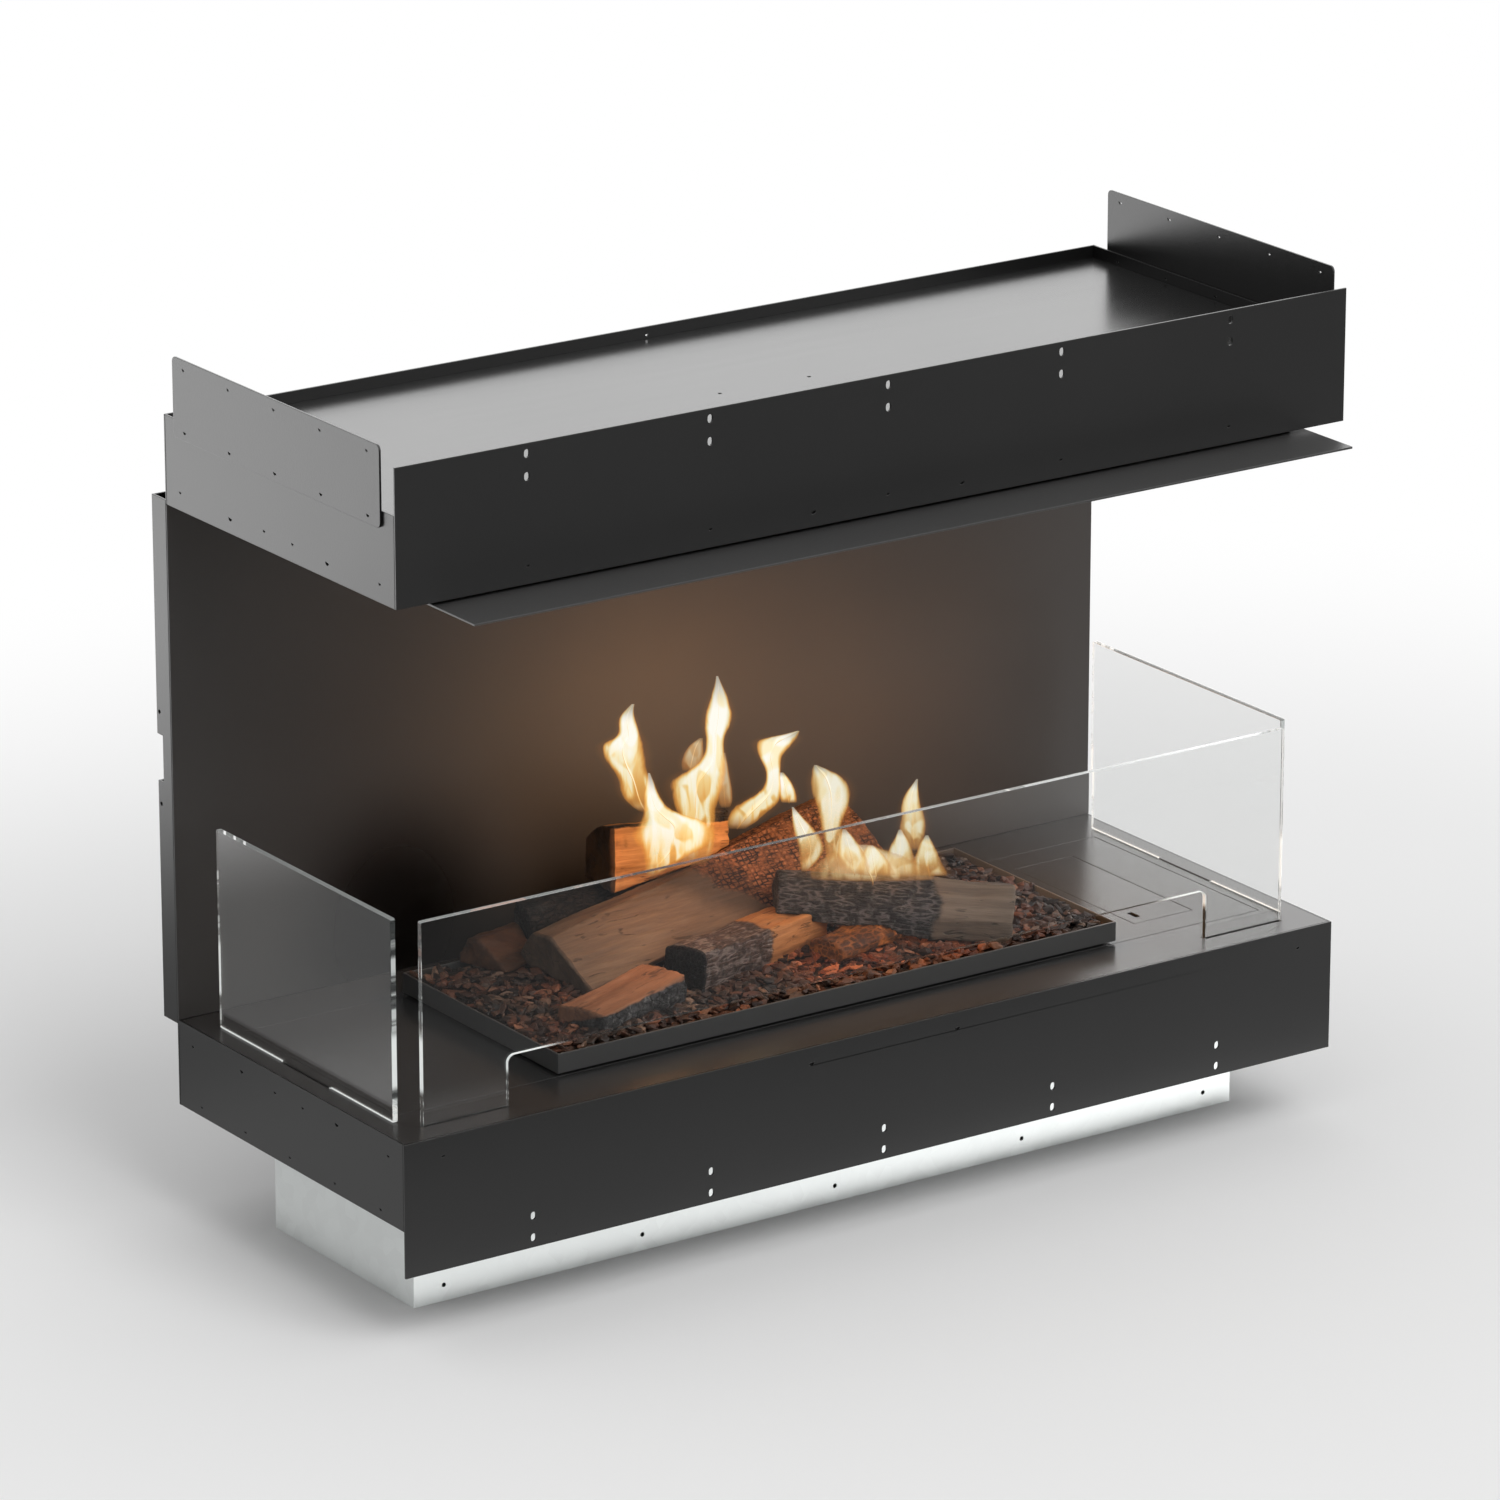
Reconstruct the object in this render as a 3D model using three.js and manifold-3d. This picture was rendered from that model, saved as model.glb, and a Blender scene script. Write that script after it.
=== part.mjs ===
// Three-sided built-in bioethanol fireplace.
// A galvanised burner housing stands on the floor and carries a black sheet-steel casing: a lower box with a
// flat deck, a back wall with a shallow rear cover, and a hood. Three loose glass panes stand in slots in the
// deck, and an automatic burner with ceramic logs lies in its middle.
// Millimetres, +X to the right, +Y to the back, +Z up. The origin is the middle of the casing, on the floor.

import * as THREE from 'three'
import { mergeVertices } from 'three/addons/utils/BufferGeometryUtils.js'
import Module from 'manifold-3d'

const wasm = await Module()
wasm.setup()

// Casing as a whole
const casingWidth = 1000
const casingDepth = 374
const deckHeight = 187
const openingHeight = 475
const sheet = 2
const thinSheet = 1.5
const gap = 0.3
const overrun = 3

// Lower box
const lowerSideHeight = 79.5
const lowerFasciaHeight = 122
const lowerFlange = 18
const deckFlange = 30
const floorHoleDrop = 70
const topHoleDrop = 17
const bigHoleDrop = 14.3

// Hood
const hoodHeight = 81
const hoodFasciaHeight = 123
const hoodTopRecess = 11
const hoodFlange = 26
const hoodTopFlange = 20
const lipDepth = 61
const lipSideInset = 38
const lipGap = 3
const lipHold = 40
const lipSpacer = 12
const plateInset = 20
const plateHeight = 72
const plateOverlap = 15
const plateCorner = 5
const plateRowEdge = 8
const topMarkPitch = 95

// Holes in the sheets
const holeRadius = 1.8
const bigHoleRadius = 2.8
const plateHoleRadius = 2.2
const slotWidth = 5
const slotLength = 7.5
const slotEnd = 130
const slotPairPitch = 20
const slotEdge = 9
const sideNearHole = 23
const sideEndHole = 25.5
const bigHoleOffset = 78.5
const plateEndHole = 19
const fasciaEndHole = 39
const holeRowCount = 5
const holeSides = 10

// Back wall, its rear cover and the uprights
const coverDepth = 23.5
const coverOverlap = 3.5
const notchLength = 43
const notchDepth = 9
const notchWidth = 14
const notchHeight = 217
const coverHoleRise = 21
const uprightWidth = 40
const uprightDepth = 18
const uprightInset = 150
const uprightReach = 60

// Burner housing
const housingSideInset = 55
const housingFrontInset = 75.5
const housingRearInset = 69.5
const housingFlange = 22
const housingHoleRise = 15
const housingHoleEnd = 31
const housingHoleRadius = 2
const floorClearance = 1
const ventCount = 10
const ventLength = 46
const ventWidth = 5
const ventPitch = 14
const ventRise = 38
const ventFromLeft = 220

// Burner top plate, surround, fire slot and trough
const topPlateSideInset = 36
const topPlateOverhang = 10.5
const plateSeat = 0.6
const surroundEnd = 162
const surroundOverhang = 1
const surroundHeight = 21
const surroundGap = 2.5
const surroundFootInset = 8
const surroundFootWidth = 4
const troughEnd = 47
const troughDepth = 90
const troughDrop = 80
const troughFlange = 12
const troughClearance = 1
const slotPlateEdge = 2
const slotPlateSeat = 2.5
const fireSlotEnd = 25
const fireSlotWidth = 8
const fireSlotPitch = 28
const fireSlotSegments = 4
const fireSlotEndShare = 0.45

// Evaporator, igniter and flame sensor
const evaporatorWidth = 60
const evaporatorDepth = 40
const evaporatorHeight = 20
const railRadius = 7
const railEnd = 75
const railFoot = 8
const railFootInset = 80
const evaporatorEnd = 65
const inletStub = 10
const stubRadius = 5
const igniterX = -60
const sensorX = 60
const sensorInset = 22
const igniterRadius = 2.5
const sensorRadius = 1.8
const igniterNut = 7
const nutSides = 6
const igniterNutHeight = 10
const igniterReach = 55
const sensorReach = 48

// Fuel tank, its neck, cap and level sensor
const tankEnd = 25
const tankSideGap = 26.5
const tankHeadroom = 27
const fillerFromFront = 25
const neckRadius = 15
const neckBore = 12
const neckDip = 10
const neckRise = 21
const neckFlange = 23
const neckClearance = 0.5
const capRadius = 21
const capHeight = 17
const capTop = 4
const capGripRadius = 2.2
const capGripCount = 12
const levelFromFiller = 81
const levelFromSide = 41
const levelFlangeRadius = 20
const levelFlangeHeight = 3
const levelHoleRadius = 14
const levelStemRadius = 3
const floatRadius = 12
const floatHeight = 14
const floatDepth = 20
const levelStemRise = 12.3
const outletRadius = 4
const outletRise = 16

// Pump and fuel lines
const pumpBay = 120
const pumpFromTank = 40
const pumpRadius = 17
const pumpLength = 70
const pumpRise = 32
const pumpFootWidth = 30
const pumpFootLength = 50
const outletBoss = 6
const lineRadius = 4
const lineBend = 24
const lineSides = 8
const lineSteps = 14

// Service hatch and well, keypad
const hatchWidth = 66
const hatchSideMargin = 50
const hatchEndMargin = 32.5
const hatchSeat = 0.5
const hatchNotchLength = 14
const hatchNotchWidth = 5
const hatchNotchSide = 14
const hatchNotchEnd = 19.5
const hatchLip = 6
const wellDrop = 44
const wellFlange = 12
const wellLedge = 5.5
const keypadWidth = 48
const keypadLength = 66
const keypadHeight = 15
const keypadFromBack = 37
const buttonRadius = 6
const buttonClearance = 0.4
const buttonPitch = 19
const buttonProud = 2.5
const buttonWell = 6
const buttonTravel = 1.5
const buttonEdge = 0.8

// Control box, board and power inlet
const controlEnd = 15
const controlWidth = 200
const controlSideGap = 31.5
const controlHeadroom = 19
const controlSlotWidth = 40
const controlSlotHeight = 16
const boardInset = 12
const boardThickness = 1.6
const boardRise = 10
const standoffRadius = 3
const relaySize = 22
const relayHeight = 26
const capacitorRadius = 9
const capacitorHeight = 24
const connectorWidth = 36
const connectorDepth = 12
const connectorHeight = 14
const inletWidth = 48
const inletHeight = 28
const inletDepth = 30
const inletFlange = 6
const inletFromEnd = 85
const inletRise = 45
const inletCavity = 18
const inletWall = 3
const pinWidth = 4
const pinHeight = 7
const pinLength = 14
const pinPitch = 8

// Glass panes and their holders
const glassThickness = 5
const glassHeight = 185
const glassTab = 14
const sideGlassInset = 22.5
const sideGlassFrontInset = 49
const sideGlassRearInset = 39
const sideTabLength = 80
const frontGlassSideInset = 37
const frontGlassInset = 30.5
const frontLegWidth = 87
const frontRise = 46
const glassCorner = 7
const glassSmallCorner = 2
const glassPlay = 0.6
const glassLift = 0.5
const holderFlange = 8
const holderEnd = 3

// Ember bed and logs
const bedDepthTop = 15
const bedWave = 1.6
const bedTrenchWidth = 11
const bedColumns = 26
const bedRows = 10
const bedWaveCount = { alongX: 7.3, acrossY: 3.1, slantX: 4.7, slantY: 5.9 }
const logUnit = 60
const logRingCount = 7
const knotShare = 0.05
const knotCount = 1.3

const frontPlane = -casingDepth / 2
const backPlane = casingDepth / 2
const sidePlane = casingWidth / 2
const hoodBottom = deckHeight + openingHeight
const hoodRim = hoodBottom + hoodHeight
const hoodTop = hoodRim - hoodTopRecess
const underDeck = deckHeight - sheet - gap
const roundSides = 24
const full = Math.PI * 2

// Sizes and places that follow from the ones above
const housingWidth = casingWidth - 2 * housingSideInset
const housingDepth = casingDepth - housingFrontInset - housingRearInset
const burnerShift = (housingFrontInset - housingRearInset) / 2
const topPlateWidth = casingWidth - 2 * topPlateSideInset
const topPlateDepth = housingDepth + 2 * topPlateOverhang
const surroundWidth = topPlateWidth - 2 * surroundEnd
const surroundDepth = topPlateDepth + 2 * surroundOverhang
const troughWidth = surroundWidth - 2 * troughEnd
const troughFloor = deckHeight - troughDrop
const fireSlotLength = troughWidth - 2 * fireSlotEnd
const hatchLength = topPlateDepth - 2 * hatchEndMargin
const hatchX = topPlateWidth / 2 - hatchSideMargin - hatchWidth / 2
const hatchFront = burnerShift - hatchLength / 2
const hatchBack = burnerShift + hatchLength / 2
const wellFloor = deckHeight - wellDrop
const fillerY = hatchFront + fillerFromFront
const controlLeft = controlEnd - housingWidth / 2
const controlRight = controlLeft + controlWidth
const tankLeft = controlRight + pumpBay
const tankRight = housingWidth / 2 - tankEnd
const tankFront = burnerShift - housingDepth / 2 + tankSideGap
const tankBack = burnerShift + housingDepth / 2 - tankSideGap
const pumpX = tankLeft - pumpFromTank
const feedX = evaporatorEnd - troughWidth / 2
const plateLength = casingDepth - 2 * plateInset
const platePitch = (plateLength - 2 * plateEndHole) / (holeRowCount - 1)
const slotPitch = (casingWidth - 2 * slotEnd) / (holeRowCount - 1)

const blackSteel = { color: 0x2b2b2c, roughness: 0.42, metalness: 0.35 }
const zinc = { color: 0xc9cfcc, roughness: 0.38, metalness: 0.85 }
const stainless = { color: 0xa8a9a8, roughness: 0.3, metalness: 0.9 }
const clearGlass = { color: 0xdfe8e6, roughness: 0.03, metalness: 0, transparent: true, opacity: 0.25 }
const blackPlastic = { color: 0x1b1b1d, roughness: 0.55, metalness: 0 }
const greenBoard = { color: 0x1f5a38, roughness: 0.6, metalness: 0 }
const brassFinish = { color: 0xb08d45, roughness: 0.35, metalness: 0.9 }
const charcoal = { color: 0x3a2b22, roughness: 0.95, metalness: 0 }
const paleWood = { color: 0x8a6a4c, roughness: 0.9, metalness: 0 }
const burntWood = { color: 0x4a3a31, roughness: 0.95, metalness: 0 }
const rubberFinish = { color: 0x222222, roughness: 0.8, metalness: 0 }

const fireplace = new THREE.Group()

// Turns a closed three.js geometry into a solid that can be cut and joined.
function solid(geometry) {
  const bare = new THREE.BufferGeometry()
  bare.setAttribute('position', geometry.attributes.position)
  bare.setIndex(geometry.index)
  const merged = mergeVertices(bare)
  return new wasm.Manifold(new wasm.Mesh({
    numProp: 3,
    vertProperties: new Float32Array(merged.attributes.position.array),
    triVerts: new Uint32Array(merged.index.array),
  }))
}

function cut(body, ...tools) {
  return tools.reduce((rest, tool) => rest.subtract(tool), body)
}

function join(...bodies) {
  return bodies.reduce((whole, body) => whole.add(body))
}

function add(name, body, finish) {
  const mesh = body.getMesh()
  const geometry = new THREE.BufferGeometry()
  geometry.setAttribute('position', new THREE.BufferAttribute(mesh.vertProperties, 3))
  geometry.setIndex(new THREE.BufferAttribute(mesh.triVerts, 1))
  geometry.computeVertexNormals()
  const node = new THREE.Mesh(geometry, new THREE.MeshStandardMaterial({ ...finish, flatShading: true }))
  node.name = name
  fireplace.add(node)
}

function block(x0, x1, y0, y1, z0, z1) {
  const box = new THREE.BoxGeometry(x1 - x0, y1 - y0, z1 - z0)
  return solid(box.translate((x0 + x1) / 2, (y0 + y1) / 2, (z0 + z1) / 2))
}

// A box given by its middle in plan, its size in plan and its lowest and highest level.
function blockAt(x, y, width, depth, z0, z1) {
  return block(x - width / 2, x + width / 2, y - depth / 2, y + depth / 2, z0, z1)
}

function rodX(radius, x0, x1, y, z, sides = roundSides) {
  const rod = new THREE.CylinderGeometry(radius, radius, x1 - x0, sides)
  return solid(rod.rotateZ(full / 4).translate((x0 + x1) / 2, y, z))
}

function rodY(radius, y0, y1, x, z, sides = roundSides) {
  return solid(new THREE.CylinderGeometry(radius, radius, y1 - y0, sides).translate(x, (y0 + y1) / 2, z))
}

function rodZ(radius, z0, z1, x, y, sides = roundSides) {
  const rod = new THREE.CylinderGeometry(radius, radius, z1 - z0, sides)
  return solid(rod.rotateX(full / 4).translate(x, y, (z0 + z1) / 2))
}

function extrude(shape, depth) {
  return new THREE.ExtrudeGeometry(shape, { depth, bevelEnabled: false, curveSegments: 5 })
}

// A plate whose outline is drawn in Y and Z.
function plateX(shape, x0, x1) {
  const upright = new THREE.Matrix4().makeBasis(
    new THREE.Vector3(0, 1, 0), new THREE.Vector3(0, 0, 1), new THREE.Vector3(1, 0, 0))
  return solid(extrude(shape, x1 - x0).applyMatrix4(upright).translate(x0, 0, 0))
}

// A plate whose outline is drawn in X and Z.
function plateY(shape, y0, y1) {
  return solid(extrude(shape, y1 - y0).rotateX(full / 4).translate(0, y1, 0))
}

// A plate whose outline is drawn in X and Y.
function plateZ(shape, z0, z1) {
  return solid(extrude(shape, z1 - z0).translate(0, 0, z0))
}

function rectangle(u0, u1, v0, v1) {
  return new THREE.Shape([
    new THREE.Vector2(u0, v0), new THREE.Vector2(u1, v0), new THREE.Vector2(u1, v1), new THREE.Vector2(u0, v1)])
}

function roundedRectangle(u0, u1, v0, v1, r) {
  const shape = new THREE.Shape()
  shape.moveTo(u0 + r, v0)
  shape.lineTo(u1 - r, v0)
  shape.absarc(u1 - r, v0 + r, r, -full / 4, 0)
  shape.absarc(u1 - r, v1 - r, r, 0, full / 4)
  shape.absarc(u0 + r, v1 - r, r, full / 4, full / 2)
  shape.absarc(u0 + r, v0 + r, r, full / 2, full * 3 / 4)
  return shape
}

function roundHole(u, v, radius) {
  const hole = new THREE.Path()
  hole.absarc(u, v, radius, 0, full, true)
  return new THREE.Path(hole.getPoints(holeSides).slice(0, holeSides))
}

// An upright oval hole.
function ovalHole(u, v, width, length) {
  const r = width / 2
  const rise = length / 2 - r
  const steps = holeSides / 2
  const ends = [{ middle: v + rise, from: 0 }, { middle: v - rise, from: full / 2 }]
  const points = ends.flatMap(({ middle, from }) => Array.from({ length: steps + 1 }, (_, i) => {
    const angle = from + full / 2 * i / steps
    return new THREE.Vector2(u + r * Math.cos(angle), middle + r * Math.sin(angle))
  }))
  return new THREE.Path(points)
}

// Places of a row of equal steps about the middle.
function row(count, pitch) {
  return Array.from({ length: count }, (_, i) => (i - (count - 1) / 2) * pitch)
}

function mirrored(...offsets) {
  return offsets.flatMap(offset => [-offset, offset])
}

const sides = [{ name: 'left', sign: -1 }, { name: 'right', sign: 1 }]

// Between two levels across X, given from the side plane inwards.
function sideSpan(sign, outer, inner) {
  return [Math.min(sign * outer, sign * inner), Math.max(sign * outer, sign * inner)]
}

// Pairs of oval holes along a fascia, with the row of small and large screw holes.
function fasciaHoles(shape, slotLevel, smallOffsets, smallLevel, bigLevel) {
  for (const x of row(holeRowCount, slotPitch)) {
    for (const z of row(2, slotPairPitch)) {
      shape.holes.push(ovalHole(x, slotLevel + z, slotWidth, slotLength))
    }
  }
  for (const x of smallOffsets) shape.holes.push(roundHole(x, smallLevel, holeRadius))
  for (const x of mirrored(bigHoleOffset)) shape.holes.push(roundHole(x, bigLevel, bigHoleRadius))
}

function sideHoles(shape, smallLevel, bigLevel) {
  for (const y of mirrored(sideNearHole, casingDepth / 2 - sideEndHole)) shape.holes.push(roundHole(y, smallLevel, holeRadius))
  for (const y of mirrored(bigHoleOffset)) shape.holes.push(roundHole(y, bigLevel, bigHoleRadius))
}

// Lower box: fascia, sides, rear panel, floor and deck
function makeLowerBox() {
  const bottom = deckHeight - lowerSideHeight
  const fasciaBottom = deckHeight - lowerFasciaHeight
  const innerSide = sidePlane - sheet
  const innerFront = frontPlane + sheet + gap
  const innerBack = backPlane - sheet - gap

  const fascia = rectangle(-sidePlane, sidePlane, fasciaBottom, deckHeight)
  fasciaHoles(fascia, fasciaBottom + slotEdge + slotPairPitch / 2, mirrored(sidePlane - fasciaEndHole),
    deckHeight - topHoleDrop, deckHeight - bigHoleDrop)
  add('lower_front_fascia', plateY(fascia, frontPlane, frontPlane + sheet), blackSteel)

  for (const { name, sign } of sides) {
    const wall = rectangle(innerFront, innerBack, bottom, deckHeight)
    sideHoles(wall, deckHeight - topHoleDrop, deckHeight - bigHoleDrop)
    for (const y of row(holeRowCount, platePitch)) {
      wall.holes.push(roundHole(y, deckHeight - floorHoleDrop, holeRadius))
    }
    const wallSpan = sideSpan(sign, sidePlane, innerSide)
    const flangeSpan = sideSpan(sign, sidePlane, innerSide - lowerFlange)
    const flange = block(...flangeSpan, innerFront, innerBack, bottom, bottom + sheet)
    add(`lower_${name}_side`, join(plateX(wall, ...wallSpan), flange), blackSteel)
  }

  const flangeEnd = innerSide - lowerFlange - gap
  add('lower_rear_panel', join(
    block(-sidePlane, sidePlane, backPlane - sheet, backPlane, bottom, deckHeight),
    block(-flangeEnd, flangeEnd, backPlane - sheet - lowerFlange, backPlane - sheet, bottom, bottom + sheet),
  ), blackSteel)

  const floorLevel = bottom + sheet + gap
  add('lower_casing_floor', cut(
    block(-innerSide + gap, innerSide - gap, innerFront, innerBack, floorLevel, floorLevel + sheet),
    blockAt(0, burnerShift, housingWidth + 2 * floorClearance, housingDepth + 2 * floorClearance,
      floorLevel - overrun, floorLevel + sheet + overrun),
  ), blackSteel)

  const deckSide = innerSide - gap
  const deckOpening = blockAt(0, burnerShift, topPlateWidth + 2 * plateSeat, topPlateDepth + 2 * plateSeat,
    deckHeight - sheet - overrun, deckHeight + overrun)
  const pan = cut(
    block(-deckSide, deckSide, innerFront, innerBack, deckHeight - deckFlange, deckHeight),
    block(-deckSide + sheet, deckSide - sheet, innerFront + sheet, innerBack - sheet,
      deckHeight - deckFlange - overrun, deckHeight - sheet),
  )
  const slots = glassSlots().map(({ x0, x1, y0, y1 }) => block(x0 - glassPlay, x1 + glassPlay,
    y0 - glassPlay, y1 + glassPlay, deckHeight - sheet - overrun, deckHeight + overrun))
  const screws = mirrored(bigHoleOffset).map(x => rodY(bigHoleRadius, innerFront - overrun,
    innerFront + sheet + overrun, x, deckHeight - bigHoleDrop, holeSides))
  add('deck_plate', cut(pan, deckOpening, ...slots, ...screws), blackSteel)
}

// Where the tabs and legs of the glass pass through the deck.
function glassSlots() {
  const sideX = sidePlane - sideGlassInset
  const frontY = frontPlane + frontGlassInset
  const half = glassThickness / 2
  const tabMiddle = (sideGlassFrontInset - sideGlassRearInset) / 2
  const outer = sidePlane - frontGlassSideInset
  const tabs = sides.map(({ name, sign }) => ({
    name, x0: sign * sideX - half, x1: sign * sideX + half, y0: tabMiddle - sideTabLength / 2,
    y1: tabMiddle + sideTabLength / 2,
  }))
  const legs = sides.map(({ name, sign }) => {
    const [x0, x1] = sideSpan(sign, outer, outer - frontLegWidth)
    return { name: `front_${name}`, x0, x1, y0: frontY - half, y1: frontY + half }
  })
  return [...tabs, ...legs]
}

// Glass: side panes with one tab, a front pane that stands on two legs, and the channels that hold them
function makeGlass() {
  const bottom = deckHeight + glassLift
  const top = deckHeight + glassHeight
  const foot = deckHeight - glassTab
  const sideX = sidePlane - sideGlassInset
  const half = glassThickness / 2
  for (const { name, sign } of sides) {
    const y0 = frontPlane + sideGlassFrontInset
    const y1 = backPlane - sideGlassRearInset
    const middle = (y0 + y1) / 2
    const pane = roundedRectangle(y0, y1, bottom, top, glassSmallCorner)
    const tab = rectangle(middle - sideTabLength / 2, middle + sideTabLength / 2, foot,
      bottom + glassSmallCorner)
    const span = [sign * sideX - half, sign * sideX + half]
    add(`${name}_glass`, join(plateX(pane, ...span), plateX(tab, ...span)), clearGlass)
  }

  const outer = sidePlane - frontGlassSideInset
  const inner = outer - frontLegWidth
  const raised = deckHeight + frontRise
  const r = glassCorner
  const s = glassSmallCorner
  const pane = new THREE.Shape()
  pane.moveTo(-outer, foot)
  pane.lineTo(-inner, foot)
  pane.lineTo(-inner, raised - r)
  pane.absarc(-inner + r, raised - r, r, full / 2, full / 4, true)
  pane.lineTo(inner - r, raised)
  pane.absarc(inner - r, raised - r, r, full / 4, 0, true)
  pane.lineTo(inner, foot)
  pane.lineTo(outer, foot)
  pane.lineTo(outer, top - s)
  pane.absarc(outer - s, top - s, s, 0, full / 4)
  pane.lineTo(-outer + s, top)
  pane.absarc(-outer + s, top - s, s, full / 4, full / 2)
  const frontY = frontPlane + frontGlassInset
  add('front_glass', plateY(pane, frontY - half, frontY + half), clearGlass)

  // Each holder is a channel under the deck with one fixing flange on its outer side.
  const channelTop = underDeck
  const channelFloor = foot - gap
  for (const { name, x0, x1, y0, y1 } of glassSlots()) {
    const alongY = !name.startsWith('front')
    const endX = alongY ? 0 : holderEnd
    const endY = alongY ? holderEnd : 0
    const wallX = alongY ? thinSheet : 0
    const wallY = alongY ? 0 : thinSheet
    const in0 = { x: x0 - glassPlay - endX, y: y0 - glassPlay - endY }
    const in1 = { x: x1 + glassPlay + endX, y: y1 + glassPlay + endY }
    const channel = cut(
      block(in0.x - wallX, in1.x + wallX, in0.y - wallY, in1.y + wallY, channelFloor - thinSheet, channelTop),
      block(in0.x - (alongY ? 0 : overrun), in1.x + (alongY ? 0 : overrun), in0.y - (alongY ? overrun : 0),
        in1.y + (alongY ? overrun : 0), channelFloor, channelTop + overrun),
    )
    const flange = alongY
      ? block(...(x0 < 0 ? [in0.x - holderFlange, in0.x] : [in1.x, in1.x + holderFlange]), in0.y, in1.y,
        channelTop - thinSheet, channelTop)
      : block(in0.x, in1.x, in0.y - holderFlange, in0.y, channelTop - thinSheet, channelTop)
    add(`glass_holder_${name}`, join(channel, flange), blackSteel)
  }
}

// Back wall with its rear cover, and the two uprights that join the lower box to the hood
function makeBack() {
  add('back_wall', block(-sidePlane, sidePlane, backPlane - sheet, backPlane, deckHeight + gap,
    hoodBottom - gap), blackSteel)

  const coverFront = backPlane + gap
  const coverBack = backPlane + coverDepth
  const coverBottom = deckHeight - coverOverlap
  const coverTop = hoodBottom + coverOverlap
  const shell = cut(
    block(-sidePlane, sidePlane, coverFront, coverBack, coverBottom, coverTop),
    block(-sidePlane + sheet, sidePlane - sheet, coverFront - overrun, coverBack - sheet,
      coverBottom - overrun, coverTop + overrun),
  )
  const notchBottom = deckHeight + notchHeight
  const cuts = sides.flatMap(({ sign }) => {
    const notch = sideSpan(sign, sidePlane + overrun, sidePlane - notchWidth)
    const wall = sideSpan(sign, sidePlane + overrun, sidePlane - sheet - overrun)
    const holeY = coverBack - notchDepth / 2
    return [
      block(...notch, coverBack - notchDepth, coverBack + overrun, notchBottom, notchBottom + notchLength),
      rodX(holeRadius, ...wall, holeY, notchBottom - coverHoleRise, holeSides),
      rodX(holeRadius, ...wall, holeY, notchBottom + notchLength + coverHoleRise, holeSides),
    ]
  })
  add('rear_cover', cut(shell, ...cuts), blackSteel)

  for (const { name, sign } of sides) {
    const x = sign * (sidePlane - uprightInset)
    const z0 = deckHeight - uprightReach
    const z1 = hoodBottom + uprightReach
    const outer = blockAt(x, coverFront + uprightDepth / 2, uprightWidth, uprightDepth, z0, z1)
    const hollow = block(x - uprightWidth / 2 + sheet, x + uprightWidth / 2 - sheet, coverFront + sheet,
      coverFront + uprightDepth + overrun, z0 - overrun, z1 + overrun)
    add(`rear_upright_${name}`, cut(outer, hollow), zinc)
  }
}

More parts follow.
